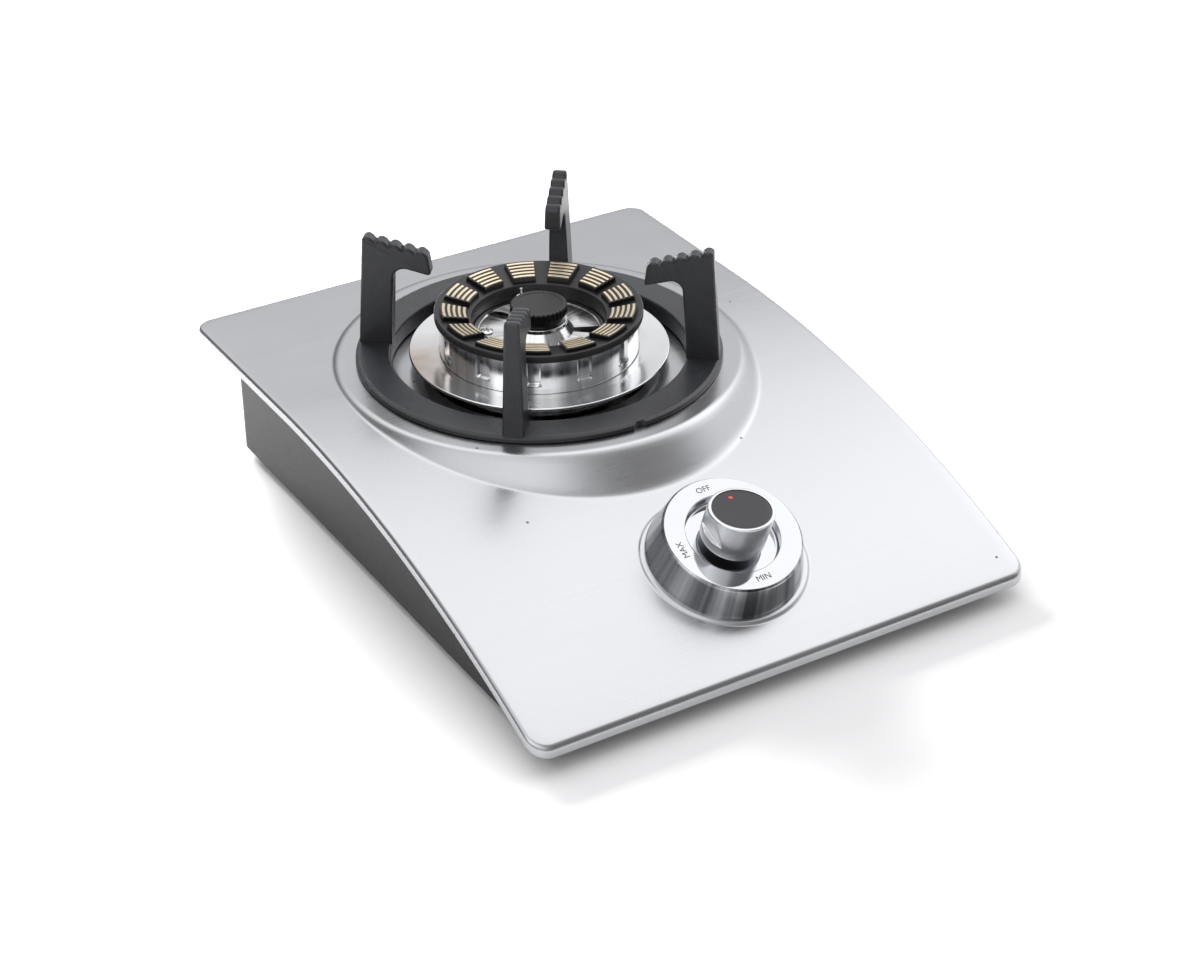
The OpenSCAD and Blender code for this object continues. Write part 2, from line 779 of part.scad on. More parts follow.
// Wedges of the given angle, one at each port group
module port_wedges(angle, low, high) {
    for (i = [0 : port_groups - 1]) rotate([0, 0, port_turn + 360 * i / port_groups])
        translate([0, 0, low]) linear_extrude(high - low)
            polygon([[0, 0], [crown_r, -crown_r * tan(angle / 2)], [crown_r, crown_r * tan(angle / 2)]]);
}

module burner_crown() {
    color("#26262a") at_burner() difference() {
        union() {
            rotate_extrude() polygon([[crown_in_r, crown_z - crown_skirt_h],
                [crown_in_r + crown_skirt_t, crown_z - crown_skirt_h], [crown_in_r + crown_skirt_t, crown_z],
                [head_r - head_wall - lift_gap - crown_skirt_t, crown_z],
                [head_r - head_wall - lift_gap - crown_skirt_t, crown_z - crown_skirt_h],
                [head_r - head_wall - lift_gap, crown_z - crown_skirt_h],
                [head_r - head_wall - lift_gap, crown_z],
                [crown_r, crown_z], [crown_r, crown_top_z - crown_bevel],
                [crown_r - crown_bevel, crown_top_z], [crown_in_r + crown_bevel, crown_top_z],
                [crown_in_r, crown_top_z - crown_bevel]]);
            intersection() {
                rotate_extrude() for (i = [0 : port_strips - 1])
                    translate([strip_in_r + i * strip_pitch, crown_z + crown_t / 2])
                        square([strip_w, crown_t / 2 + strip_h + (i + 1) * strip_step]);
                port_wedges(port_angle, crown_z, strip_top_z + cut);
            }
        }
        intersection() {
            rotate_extrude() for (i = [0 : port_strips - 2])
                translate([strip_in_r + i * strip_pitch + strip_w, crown_z - cut])
                    square([strip_pitch - strip_w, crown_t + 2 * cut]);
            port_wedges(port_angle - slit_margin, crown_z - 2 * cut, crown_top_z + 2 * cut);
        }
    }
}

module inner_cap() {
    color("#232325") at_burner() difference() {
        rotate_extrude() polygon([[0, cap_seat_z], [cap_neck_r - cap_neck_t, cap_seat_z],
            [cap_neck_r - cap_neck_t, cap_seat_z - cap_neck_l], [cap_neck_r, cap_seat_z - cap_neck_l],
            [cap_neck_r, cap_seat_z], [cap_waist_r, cap_seat_z], [cap_waist_r, cap_seat_z + cap_waist_h],
            [cap_r, cap_seat_z + cap_waist_h], [cap_r, cap_top_z - cap_bevel],
            [cap_r - cap_bevel, cap_top_z], [0, cap_top_z]]);
        for (i = [0 : cap_notches - 1]) rotate([0, 0, 360 * i / cap_notches])
            translate([cap_r, 0])
                disc(cap_notch_r, cap_seat_z + cap_waist_h - cut, cap_top_z + cut, $fn = small_fn);
    }
}

// Screws through the spokes, heads up
module spoke_screws() {
    color("silver") at_burner() for (a = spoke_screw_angles) rotate([0, 0, a])
        translate([spoke_screw_r, 0, spoke_z + spoke_t + fit_gap])
            mirror([0, 0, 1]) screw_up(spoke_t);
}

module electrode_insulator() {
    color("white") translate([electrode_x, electrode_y]) difference() {
        union() {
            disc(insulator_r, insulator_z, insulator_z + insulator_l, $fn = small_fn);
            disc(collar_r, lug_z + lug_h + fit_gap, lug_z + lug_h + collar_h, $fn = small_fn);
        }
        disc(pin_r, insulator_z - cut, insulator_z + insulator_l + cut, $fn = small_fn);
    }
}

module electrode_pin() {
    color("silver") translate([electrode_x, electrode_y])
        disc(pin_r - fit_gap, insulator_z, insulator_z + insulator_l + pin_rise, $fn = small_fn);
}

module igniter_lead() {
    color("#c8c4b8") swept_tube(lead_route, lead_r, lead_sides);
}

module piezo_igniter() {
    color("#4a4a4c") {
        translate([-piezo_w / 2, piezo_y - piezo_d / 2, valve_plate_top_z + fit_gap])
            cube([piezo_w, piezo_d, piezo_h]);
        translate([-piezo_w / 2, piezo_y, piezo_tip_z]) rotate([0, -90, 0])
            cylinder(r = piezo_tip_r, h = piezo_tip_l, $fn = small_fn);
    }
}

// Sheet posts from the base plate to the burner head
module burner_posts() {
    color("gainsboro") for (side = [0, 1]) mirror([side, 0, 0])
        translate([post_x, burner_y - post_w / 2, 0]) {
        difference() {
            translate([0, 0, plate_top_z + fit_gap]) cube([post_foot, post_w, post_t]);
            translate([post_foot / 2, post_w / 2])
                disc(screw_r + fit_gap, plate_top_z, plate_top_z + 2 * post_t, $fn = small_fn);
        }
        translate([0, 0, plate_top_z + fit_gap]) cube([post_t, post_w, post_top_z - plate_top_z - fit_gap]);
        translate([0, 0, post_top_z - post_t]) cube([post_top, post_w, post_t]);
    }
}

module post_screws() {
    color("silver") for (side = [-1, 1])
        translate([side * (post_x + post_foot / 2), burner_y, body_z - fit_gap]) screw_up(screw_l);
}

// Tube along Y with a bell mouth and a riser up to the burner head
module mixing_tube(x, r, riser_y, riser_r) {
    bore = r - mix_wall;
    top_z = head_base_z - fit_gap;
    difference() {
        union() {
            translate([x, mix_mouth_y, mix_z]) rotate([-90, 0, 0]) {
                cylinder(r = r, h = riser_y + r - mix_mouth_y);
                cylinder(r1 = r + mix_bell, r2 = r, h = mix_bell_l);
            }
            translate([x, riser_y, mix_z]) cylinder(r = riser_r, h = top_z - mix_z);
        }
        translate([x, mix_mouth_y, mix_z]) rotate([-90, 0, 0]) {
            translate([0, 0, -cut]) cylinder(r = bore, h = riser_y + r - mix_wall - mix_mouth_y + cut);
            cylinder(r1 = bore + mix_bell, r2 = bore, h = mix_bell_l);
        }
        translate([x, riser_y, mix_z]) cylinder(r = riser_r - mix_wall, h = top_z - mix_z + cut);
    }
}

module outer_mixing_tube() {
    color("silver") mixing_tube(outer_mix_x, outer_mix_r, outer_riser_y, outer_mix_r - riser_in);
}

module inner_mixing_tube() {
    color("silver") mixing_tube(0, inner_mix_r, burner_y, inner_mix_r - fit_gap);
}

// Brass jet with a hexagon and a fine bore, pointing into a mixing tube
module jet(x) {
    translate([x, pipe_end_y + fit_gap, mix_z]) rotate([-90, 0, 0]) difference() {
        union() {
            cylinder(r = jet_hex_r, h = jet_hex_l, $fn = 6);
            cylinder(r = jet_tip_r, h = jet_hex_l + jet_tip_l, $fn = small_fn);
        }
        translate([0, 0, -cut]) cylinder(r = jet_bore_r, h = jet_hex_l + jet_tip_l + 2 * cut, $fn = small_fn);
    }
}

module outer_jet() {
    color("goldenrod") jet(outer_mix_x);
}

module inner_jet() {
    color("goldenrod") jet(0);
}

module outer_pipe() {
    color("tan") bent_pipe(1, port_boss_l + fit_gap, outer_mix_x, outer_bend_r, pipe_end_y);
}

module inner_pipe() {
    color("tan") pipe_y(pipe_r, pipe_bore_r, 0, mix_z, port_y + port_boss_l + fit_gap, pipe_end_y);
}

module inlet_pipe() {
    color("tan") bent_pipe(-1, port_boss_l + fit_gap, -inlet_x, inlet_bend_r,
        body_rear_y - body_wall - inlet_collar_t - fit_gap);
}

// Hose nozzle through the tray's rear wall: collar inside, neck in the hole, barbs outside
module inlet_nozzle() {
    barb_l = (nozzle_l - nozzle_neck_l) / barb_count;
    color("goldenrod") translate([inlet_x, body_rear_y - body_wall, port_z]) rotate([-90, 0, 0])
    difference() {
        union() {
            disc(inlet_collar_r, -inlet_collar_t, -fit_gap, $fn = small_fn);
            disc(inlet_hole_r - fit_gap, -fit_gap - cut, body_wall + fit_gap + cut, $fn = small_fn);
            disc(nozzle_r, 0, body_wall + nozzle_l, $fn = small_fn);
        }
        for (i = [0 : barb_count - 1]) translate([0, 0, body_wall + nozzle_neck_l + (i + 0.5) * barb_l])
            rotate_extrude() translate([nozzle_r - barb_depth, 0])
                square([2 * barb_depth, barb_l / 2], center = false);
        disc(pipe_bore_r, -inlet_collar_t - cut, body_wall + nozzle_l + cut, $fn = small_fn);
    }
}

// Valve

module valve_plate() {
    color("gainsboro") difference() {
        translate([-valve_plate_w / 2, valve_foot_y - valve_plate_front, plate_top_z + fit_gap])
            cube([valve_plate_w, valve_plate_front + valve_plate_rear, valve_plate_t]);
        for (side = [-1, 1]) translate([side * valve_plate_w / 3, valve_foot_y])
            disc(screw_r + fit_gap, plate_top_z - cut, valve_plate_top_z + cut, $fn = small_fn);
    }
}

module valve_screws() {
    color("silver") for (side = [-1, 1])
        translate([side * valve_plate_w / 3, valve_foot_y, body_z - fit_gap]) screw_up(screw_l);
}

module valve_body() {
    foot_z = valve_plate_top_z + fit_gap;
    color("darkkhaki") difference() {
        union() {
            at_knob() {
                disc(valve_r, valve_bottom_h, valve_top_h);
                disc(neck_r, valve_top_h - cut, neck_top_h);
            }
            translate([-port_boss_l, port_y, port_z]) rotate([0, 90, 0])
                cylinder(r = port_boss_r, h = 2 * port_boss_l);
            translate([0, port_y, port_z]) rotate([-90, 0, 0]) cylinder(r = port_boss_r, h = port_boss_l);
            translate([-valve_foot_w / 2, valve_foot_y - valve_foot_d / 2, foot_z])
                cube([valve_foot_w, valve_foot_d, port_z - foot_z]);
        }
        at_knob() {
            disc(spindle_r + run_gap, chamber_top_h - cut, neck_top_h + cut);
            disc(plug_r + run_gap, chamber_bottom_h, chamber_top_h);
        }
        translate([-port_boss_l - cut, port_y, port_z]) rotate([0, 90, 0])
            cylinder(r = pipe_bore_r, h = 2 * port_boss_l + 2 * cut, $fn = small_fn);
        translate([0, port_y, port_z]) rotate([-90, 0, 0])
            cylinder(r = pipe_bore_r, h = port_boss_l + cut, $fn = small_fn);
    }
}

// Plug with the slot that the spindle's tang turns
module valve_plug() {
    slot_w = tang_w + 2 * tang_gap;
    slot_t = tang_t + 2 * tang_gap;
    slot_l = spindle_bottom_h - tang_l - knob_push - tang_gap;
    color("goldenrod") at_knob() difference() {
        disc(plug_r, plug_bottom_h, plug_top_h);
        translate([-slot_w / 2, -slot_t / 2, slot_l]) cube([slot_w, slot_t, plug_top_h - slot_l + cut]);
    }
}

module valve_spindle() {
    color("silver") at_knob() {
        disc(spindle_r, spindle_bottom_h, spindle_top_h);
        disc(spindle_ring_r, spring_ring_h, spring_ring_h + spindle_ring_t);
        translate([-tang_w / 2, -tang_t / 2, spindle_bottom_h - tang_l]) cube([tang_w, tang_t, tang_l + cut]);
    }
}

// Coil between the valve's neck and the ring on the spindle
spring_path = [for (i = [0 : spring_turns * spring_rings])
    let (a = 360 * i / spring_rings)
    [spring_r * cos(a), spring_r * sin(a),
        spring_bottom_h + spring_rise * i / (spring_turns * spring_rings)]];
echo(spring_gap = spring_rise / spring_turns - 2 * spring_wire_r);

module return_spring() {
    color("silver") at_knob() swept_tube(spring_path, spring_wire_r, spring_sides);
}

// Dial and knob

module dial_ring() {
    foot_h = -foot_reach - cut;
    well_in_r = dial_well_r + bezel_wall;
    color("gainsboro") difference() {
        at_knob() union() {
            rotate_extrude() polygon([[bezel_foot_r - bezel_wall, foot_h], [bezel_foot_r, foot_h],
                [bezel_foot_r, 0], [bezel_top_r, bezel_h - bezel_round], [bezel_top_r - bezel_round, bezel_h],
                [dial_well_r, bezel_h], [dial_well_r, dial_floor_h], [dial_hole_r, dial_floor_h],
                [dial_hole_r, dial_floor_h - bezel_wall], [well_in_r, dial_floor_h - bezel_wall],
                [well_in_r, bezel_h - bezel_wall], [bezel_top_r - bezel_wall, bezel_h - bezel_wall],
                [bezel_foot_r - bezel_wall, 0]]);
            for (side = [-1, 1]) translate([side * boss_spot, 0])
                disc(boss_r, foot_h, bezel_h - bezel_wall / 2, $fn = small_fn);
        }
        at_knob() for (side = [-1, 1]) translate([side * boss_spot, 0])
            disc(screw_r + fit_gap, foot_h - cut, dial_screw_h + screw_l + cut, $fn = small_fn);
        under_skin(-lift_gap);
    }
}

// Screws up through the panel into the dial ring's bosses
module dial_screws() {
    color("silver") at_knob() for (side = [-1, 1])
        translate([side * boss_spot, 0, dial_screw_h]) screw_up(screw_l);
}

// The knob's sloped top, with z = 0 on its face
module at_knob_top() {
    at_knob() translate([0, 0, knob_top_h]) rotate([-knob_slope, 0, 0]) children();
}

module knob() {
    color("silver") difference() {
        at_knob() rotate_extrude() polygon([[0, knob_bottom_h], [knob_r - knob_edge, knob_bottom_h],
            [knob_r, knob_bottom_h + knob_edge], [knob_r, knob_high_h], [0, knob_high_h]]);
        at_knob_top() translate([-2 * knob_r, -2 * knob_r, 0]) cube([4 * knob_r, 4 * knob_r, knob_r]);
        at_knob_top() disc(knob_r - inlay_rim, -inlay_t - inlay_sink - fit_gap, cut);
        at_knob() for (side = [0, 1]) mirror([side, 0, 0]) rotate([90, 0, 0])
            linear_extrude(2 * knob_r + 2 * cut, center = true)
                polygon([[knob_grip, grip_foot_h], [knob_r + cut, grip_foot_h],
                    [knob_r + cut, grip_top_h], [knob_r, grip_top_h]]);
        at_knob() disc(spindle_r + fit_gap, knob_bottom_h - cut, knob_bore_top_h);
    }
}

module knob_inlay() {
    color("#2b2a2c") at_knob_top() difference() {
        disc(knob_r - inlay_rim - fit_gap, -inlay_t - inlay_sink, -inlay_sink);
        translate([0, pointer_spot])
            disc(pointer_r + fit_gap, -inlay_sink - inlay_t / 2, cut, $fn = small_fn);
    }
}

module knob_pointer() {
    color("#c0392b") at_knob_top() translate([0, pointer_spot])
        disc(pointer_r, -inlay_sink - inlay_t / 2 + fit_gap, -inlay_sink, $fn = small_fn);
}

top_panel();
panel_brackets();
body_tray();
base_plate();
plate_screws();
feet();
foot_screws();
pan_support();
drip_ring();
burner_head();
burner_crown();
inner_cap();
spoke_screws();
electrode_insulator();
electrode_pin();
igniter_lead();
piezo_igniter();
burner_posts();
post_screws();
outer_mixing_tube();
inner_mixing_tube();
outer_jet();
inner_jet();
outer_pipe();
inner_pipe();
inlet_pipe();
inlet_nozzle();
valve_plate();
valve_screws();
valve_body();
valve_plug();
valve_spindle();
return_spring();
dial_ring();
dial_screws();
knob();
knob_inlay();
knob_pointer();
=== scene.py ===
"""Table-top wok burner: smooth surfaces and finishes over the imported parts, and a plain studio."""
import json
import math
from types import SimpleNamespace

import bmesh
import bpy
import numpy as np
from mathutils import Matrix, Vector


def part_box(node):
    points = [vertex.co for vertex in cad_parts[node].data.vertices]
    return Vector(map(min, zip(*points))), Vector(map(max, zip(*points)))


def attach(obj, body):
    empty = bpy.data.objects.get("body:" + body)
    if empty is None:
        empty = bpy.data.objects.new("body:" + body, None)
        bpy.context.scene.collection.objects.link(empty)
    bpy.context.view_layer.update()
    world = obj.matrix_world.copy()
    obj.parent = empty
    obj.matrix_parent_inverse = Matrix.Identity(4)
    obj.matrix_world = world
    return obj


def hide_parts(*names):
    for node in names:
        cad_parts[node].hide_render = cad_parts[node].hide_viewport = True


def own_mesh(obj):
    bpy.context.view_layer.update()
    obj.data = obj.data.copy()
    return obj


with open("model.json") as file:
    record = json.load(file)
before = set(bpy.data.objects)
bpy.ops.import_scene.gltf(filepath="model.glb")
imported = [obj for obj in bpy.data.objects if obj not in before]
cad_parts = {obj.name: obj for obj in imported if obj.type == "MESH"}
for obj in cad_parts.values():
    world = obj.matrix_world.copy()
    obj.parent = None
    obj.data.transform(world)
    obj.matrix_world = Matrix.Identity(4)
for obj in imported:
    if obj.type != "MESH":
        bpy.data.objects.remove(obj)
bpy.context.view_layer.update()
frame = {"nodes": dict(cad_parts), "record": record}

bl_info = {
    "name": "Wok burner",
    "version": (1, 0, 0),
    "blender": (4, 5, 0),
    "location": "View3D > Sidebar > Wok burner",
    "description": "Dresses a table-top wok burner with smooth surfaces and finishes",
    "category": "Object",
}


MM = 0.001  # metres in a millimetre


def length(label, text, default):
    """A length property in metres."""
    return bpy.props.FloatProperty(name=label, description=text, default=default, unit="LENGTH",
                                   subtype="DISTANCE", precision=4)


def tint(label, text, default):
    """A linear colour property."""
    return bpy.props.FloatVectorProperty(name=label, description=text, default=default, subtype="COLOR",
                                         size=3, min=0.0, max=1.0)


class WokSizes(bpy.types.PropertyGroup):
    """Sizes of the burner's surfaces."""
    panel_w: length("Panel width", "Width of the top panel across its rims", 0.306)
    panel_d: length("Panel depth", "Depth of the top panel from front to back", 0.398)
    corner_r: length("Corner radius", "Corner radius of the panel in plan", 0.011)
    roll_r: length("Rim roll", "Radius over which the panel rolls into its rim", 0.0026)
    sheet_t: length("Sheet", "Thickness of the panel sheet", 0.0012)
    flat_z: length("Flat height", "Height of the flat rear part", 0.0736)
    flat_d: length("Flat depth", "Depth of the flat rear part", 0.119)
    front_z: length("Front height", "Height of the arch at the front edge", 0.0156)
    rim_h: length("Rim depth", "Depth of the folded rim", 0.006)
    burner_back: length("Burner axis", "Distance of the burner axis from the rear edge", 0.141)
    land_rise: length("Platform rise", "Rise of the platform over the flat part", 0.0017)
    land_r: length("Platform radius", "Radius of the platform's level edge", 0.116)
    well_r: length("Well radius", "Radius of the spill well", 0.0895)
    well_depth: length("Well depth", "Depth of the spill well", 0.008)
    ring_in_r: length("Support ring inside", "Inner radius of the support ring", 0.0845)
    ring_r: length("Support ring outside", "Outer radius of the support ring", 0.1045)
    ring_h: length("Support ring height", "Height of the support ring over the platform", 0.0038)
    arm_h: length("Arm height", "Height of an arm over the support ring", 0.0645)
    finger_r: length("Finger radius", "Radius at which the fingers end", 0.0612)
    finger_h: length("Finger depth", "Depth of a finger at its tip", 0.012)
    arm_foot_t: length("Arm foot", "Thickness of an arm at the ring", 0.0125)
    arm_top_t: length("Arm top", "Thickness of an arm at its top", 0.0085)
    head_r: length("Head radius", "Outer radius of the burner head", 0.0568)
    head_h: length("Head height", "Height of the head over the platform", 0.024)
    crown_r: length("Crown radius", "Outer radius of the crown", 0.0592)
    drip_r: length("Drip ring radius", "Outer radius of the drip ring", 0.0742)
    cap_r: length("Cap radius", "Radius of the inner cap", 0.0162)
    knob_front: length("Knob axis", "Distance of the knob axis from the front edge", 0.066)
    bezel_foot_r: length("Dial foot radius", "Radius of the dial ring at its foot", 0.0425)
    bezel_top_r: length("Dial top radius", "Radius of the dial ring at its top", 0.0375)
    bezel_h: length("Dial height", "Height of the dial ring", 0.021)
    dial_well_r: length("Dial well radius", "Radius of the sunk well in the dial", 0.0254)
    knob_r: length("Knob radius", "Radius of the knob", 0.0175)
    knob_top_h: length("Knob height", "Height of the middle of the knob's top over the panel", 0.041)
    knob_grip: length("Grip half width", "Half the width over the side flats at their foot", 0.0146)


class WokColours(bpy.types.PropertyGroup):
    """Base colours of the finishes."""
    satin_steel: tint("Satin steel", "Brushed top panel", (0.52, 0.525, 0.54))
    black_enamel: tint("Black enamel", "Tray and base plate", (0.008, 0.008, 0.009))
    cast_iron: tint("Cast iron", "Pan support", (0.020, 0.0212, 0.0245))
    polished_steel: tint("Polished steel", "Drip ring", (0.84, 0.85, 0.86))
    cast_aluminium: tint("Cast aluminium", "Burner head", (0.86, 0.865, 0.87))
    crown_black: tint("Crown black", "Coat of the crown and the cap", (0.0065, 0.0065, 0.007))
    strip_brass: tint("Strip brass", "Bare tops of the port strips", (0.80, 0.69, 0.50))
    mirror_chrome: tint("Mirror chrome", "Dial ring", (0.56, 0.572, 0.59))
    satin_chrome: tint("Satin chrome", "Knob", (0.74, 0.75, 0.765))
    dark_inlay: tint("Dark inlay", "Lens on the knob", (0.011, 0.011, 0.015))
    red_mark: tint("Red mark", "Pointer on the knob", (0.62, 0.05, 0.03))


# Small fixed sizes of the pieces in millimetres, with counts and angles in degrees
DETAILS = {
    "seat_gap": 0.2, "fit_gap": 0.3, "dial_lean": 4.0, "top_lean": 14.0, "dial_sink": 6.0, "knob_gap": 4.2,
    "head_sink": 3.2, "head_wall": 3.5, "bore_r": 34.5, "bore_wall": 3.0, "shoulder_w": 5.0, "shoulder_h": 2.4,
    "hub_r": 15.5, "hub_hole_r": 6.9, "flare_r": 25.0, "hub_drop": 2.5, "spoke_drop": 15.0, "spoke_t": 8.0,
    "flutes": 12, "flute_turn": 123.6, "flute_depth": 1.9, "drip_rise": 6.1, "drip_t": 1.2,
    "crown_t": 4.4, "crown_in_r": 37.8, "crown_skirt": 3.5, "crown_bore": 9.5, "crown_wall": 2.0,
    "ports": 13, "port_turn": -122.3, "strips": 5, "strip_in_r": 41.2, "strip_w": 1.6, "strip_pitch": 2.925,
    "cap_h": 9.4, "cap_teeth": 36, "label_size": 4.9, "label_t": 0.03, "label_r": 30.8, "label_lift": 0.02,
}


def layout(context):
    """All sizes in millimetres, with the places that follow from them."""
    props = context.scene.wok_sizes
    s = SimpleNamespace(**DETAILS, **{k: getattr(props, k) / MM for k in WokSizes.__annotations__})
    s.half_d = s.panel_d / 2
    s.arch_y = s.half_d - s.flat_d
    run, drop = s.arch_y + s.half_d, s.flat_z - s.front_z
    s.arch_r = (run * run + drop * drop) / (2 * drop)
    s.burner_y = s.half_d - s.burner_back
    s.knob_y = s.knob_front - s.half_d
    s.tilt = math.asin((s.arch_y - s.knob_y) / s.arch_r) + math.radians(s.dial_lean)
    s.top_slope = math.tan(math.radians(s.top_lean))
    s.knob_z = float(skin(s, s.knob_y))
    s.land_z = s.flat_z + s.land_rise
    s.well_z = s.land_z - s.well_depth
    s.ring_z = s.land_z + s.seat_gap
    s.ring_top = s.land_z + s.ring_h
    s.head_z = s.land_z + s.head_h
    s.hub_z = s.head_z - s.hub_drop
    s.spoke_z = s.hub_z - s.spoke_drop
    s.drip_z = s.land_z + s.drip_rise
    s.crown_z = s.head_z + s.seat_gap
    s.crown_top = s.crown_z + s.crown_t
    s.cap_z = s.hub_z + s.seat_gap
    s.dial_floor = s.bezel_h - s.dial_sink
    s.knob_foot = s.dial_floor + s.knob_gap
    return s


# Curves and grids

def skin(s, y):
    """Height of the panel's top face: level behind arch_y, then a circle that falls to the front."""
    fall = np.clip(s.arch_y - np.asarray(y, float), 0.0, None)
    return s.flat_z - s.arch_r + np.sqrt(s.arch_r ** 2 - fall ** 2)


def soft_min(a, b, k):
    """The lower of a and b, with the crease rounded over the height k."""
    k = np.maximum(k, 1e-6)
    h = np.maximum(k - np.abs(a - b), 0.0) / k
    return np.minimum(a, b) - h * h * k / 4


def soft_max(a, b, k):
    """The higher of a and b, with the crease rounded over the height k."""
    return -soft_min(-a, -b, k)


def ramp(x, low, high):
    """Smooth step from 0 at low to 1 at high."""
    t = np.clip((np.asarray(x, float) - low) / (high - low), 0.0, 1.0)
    return t * t * (3 - 2 * t)


def soften(corners, steps=5, closed=True):
    """Polyline through corners (x, y, radius), each corner replaced by an arc of its radius."""
    pts = np.array([c[:2] for c in corners], float)
    out, n = [], len(corners)
    for i, (x, y, r) in enumerate(corners):
        p = np.array((x, y), float)
        if r <= 0 or (not closed and i in (0, n - 1)):
            out.append(p[None])
            continue
        a, b = pts[i - 1] - p, pts[(i + 1) % n] - p
        la, lb = np.linalg.norm(a), np.linalg.norm(b)
        a, b = a / la, b / lb
        half = math.acos(float(np.clip(a @ b, -1, 1))) / 2
        cut = min(r / math.tan(half), 0.49 * la, 0.49 * lb)
        r = cut * math.tan(half)
        mid = (a + b) / np.linalg.norm(a + b)
        centre = p + mid * r / math.sin(half)
        u = (p + a * cut - centre) / r
        v = (p + b * cut - centre) / r
        turn = math.acos(float(np.clip(u @ v, -1, 1)))
        t = np.linspace(0, 1, steps + 1)[:, None]
        arc = (np.sin((1 - t) * turn) * u + np.sin(t * turn) * v) / max(math.sin(turn), 1e-9)
        out.append(centre + r * arc)
    return np.concatenate(out)


def grid_faces(rows, cols, ring=True, torus=False):
    """Quads of a grid of points, closed across its columns (ring) and its rows (torus)."""
    i, j = np.meshgrid(np.arange(rows if torus else rows - 1), np.arange(cols if ring else cols - 1),
                       indexing="ij")
    i2, j2 = (i + 1) % rows, (j + 1) % cols
    return np.stack([i * cols + j, i * cols + j2, i2 * cols + j2, i2 * cols + j], -1).reshape(-1, 4)


WELD = 2e-7  # points closer than this many metres are one


class Shell:
    """Gathers the grids and flat caps of one piece, in millimetres."""

    def __init__(self):
        self.points, self.faces, self.slots, self.count = [], [], [], 0

    def grid(self, points, ring=True, torus=False, slot=0):
        """Adds a rows x columns x 3 grid of points."""
        rows, cols = points.shape[:2]
        faces = grid_faces(rows, cols, ring, torus) + self.count
        self.points.append(points.reshape(-1, 3))
        self.faces.extend(faces.tolist())
        self.slots.extend([slot] * len(faces))
        self.count += rows * cols
        return self

    def cap(self, loop, slot=0):
        """Closes a loop of points with one flat face."""
        self.points.append(loop)
        self.faces.append(list(range(self.count, self.count + len(loop))))
        self.slots.append(slot)
        self.count += len(loop)
        return self

    def solid(self, points, slot=0):
        """Adds a grid of closed rows and caps its first and last row."""
        return self.grid(points, slot=slot).cap(points[0], slot).cap(points[-1], slot)


def turn_steps(count):
    """Angles of a full turn in equal steps, without its end."""
    return np.linspace(0, 2 * np.pi, count, endpoint=False)


def around(r, t, z, y=0.0):
    """Points at radius r and angle t about the upright axis at (0, y)."""
    return np.stack([r * np.cos(t), y + r * np.sin(t), z + 0 * t], -1)


def revolve(profile, y=0.0, columns=224):
    """Profile of (radius, height) turned about the upright axis at (0, y)."""
    return around(profile[:, :1], turn_steps(columns), profile[:, 1:], y)


def slab(outline, thickness, edge, steps=4):
    """Closed outline (u, v) carried across its thickness (w), which is a function of v.
    Each edge is a quarter circle: the outline shrinks by edge * (1 - sin a) while w moves in by
    edge * (1 - cos a). Returns rows of (u, v, w)."""
    ahead, behind = np.roll(outline, -1, 0), np.roll(outline, 1, 0)
    t = ahead - behind
    normal = np.stack([t[:, 1], -t[:, 0]], -1) / np.linalg.norm(t, axis=1)[:, None]
    area = np.sum(outline[:, 0] * ahead[:, 1] - outline[:, 1] * ahead[:, 0])
    normal *= np.sign(area)
    a = np.linspace(0, np.pi / 2, steps + 1)
    a = np.concatenate([a, a[::-1]])[:, None]
    side = np.repeat([-1.0, 1.0], steps + 1)[:, None]
    u = outline[:, 0] - normal[:, 0] * edge * (1 - np.sin(a))
    v = outline[:, 1] - normal[:, 1] * edge * (1 - np.sin(a))
    w = side * (thickness(v) / 2 - edge * (1 - np.cos(a)))
    return np.stack([u, v, w], -1)


def swung(u, v, z, angle, y):
    """Points at u along and v across a ray from the upright axis at (0, y), at height z."""
    c, n = math.cos(angle), math.sin(angle)
    return np.stack([u * c - v * n, y + u * n + v * c, z], -1)


def bar(profile, middle, reach, steps, y):
    """Closed profile (radius, height) carried from middle - reach to middle + reach degrees round (0, y)."""
    t = np.radians(middle) + np.radians(np.linspace(-reach, reach, steps))[:, None]
    return around(profile[:, 0], t, profile[:, 1], y)


def tube(path, radius, sides=12, per_span=10):
    """Round tube along a smooth curve through the points: a Catmull-Rom curve with rings square to it."""
    p = np.concatenate([2 * path[:1] - path[1:2], path, 2 * path[-1:] - path[-2:-1]])
    t = np.linspace(0, 1, per_span, endpoint=False)[:, None, None]
    a, b, c, d = p[:-3], p[1:-2], p[2:-1], p[3:]
    curve = 0.5 * (2 * b + (c - a) * t + (2 * a - 5 * b + 4 * c - d) * t ** 2
                   + (3 * b - a - 3 * c + d) * t ** 3)
    curve = np.concatenate([curve.transpose(1, 0, 2).reshape(-1, 3), path[-1:]])
    way = np.gradient(curve, axis=0)
    way /= np.linalg.norm(way, axis=1)[:, None]
    ref = np.where(np.abs(way[:, 2:]) < 0.9, [[0.0, 0.0, 1.0]], [[1.0, 0.0, 0.0]])
    u = np.cross(way, ref)
    u /= np.linalg.norm(u, axis=1)[:, None]
    v = np.cross(way, u)
    q = turn_steps(sides)[None, :, None]
    return curve[:, None] + radius * (np.cos(q) * u[:, None] + np.sin(q) * v[:, None])


def to_dial(s, p):
    """Points (x, y, h), with h along the knob's leaning axis, turned into the frame of the whole part."""
    c, n = math.cos(s.tilt), math.sin(s.tilt)
    return np.stack([p[..., 0], s.knob_y + p[..., 1] * c - p[..., 2] * n,
                     s.knob_z + p[..., 1] * n + p[..., 2] * c], -1)


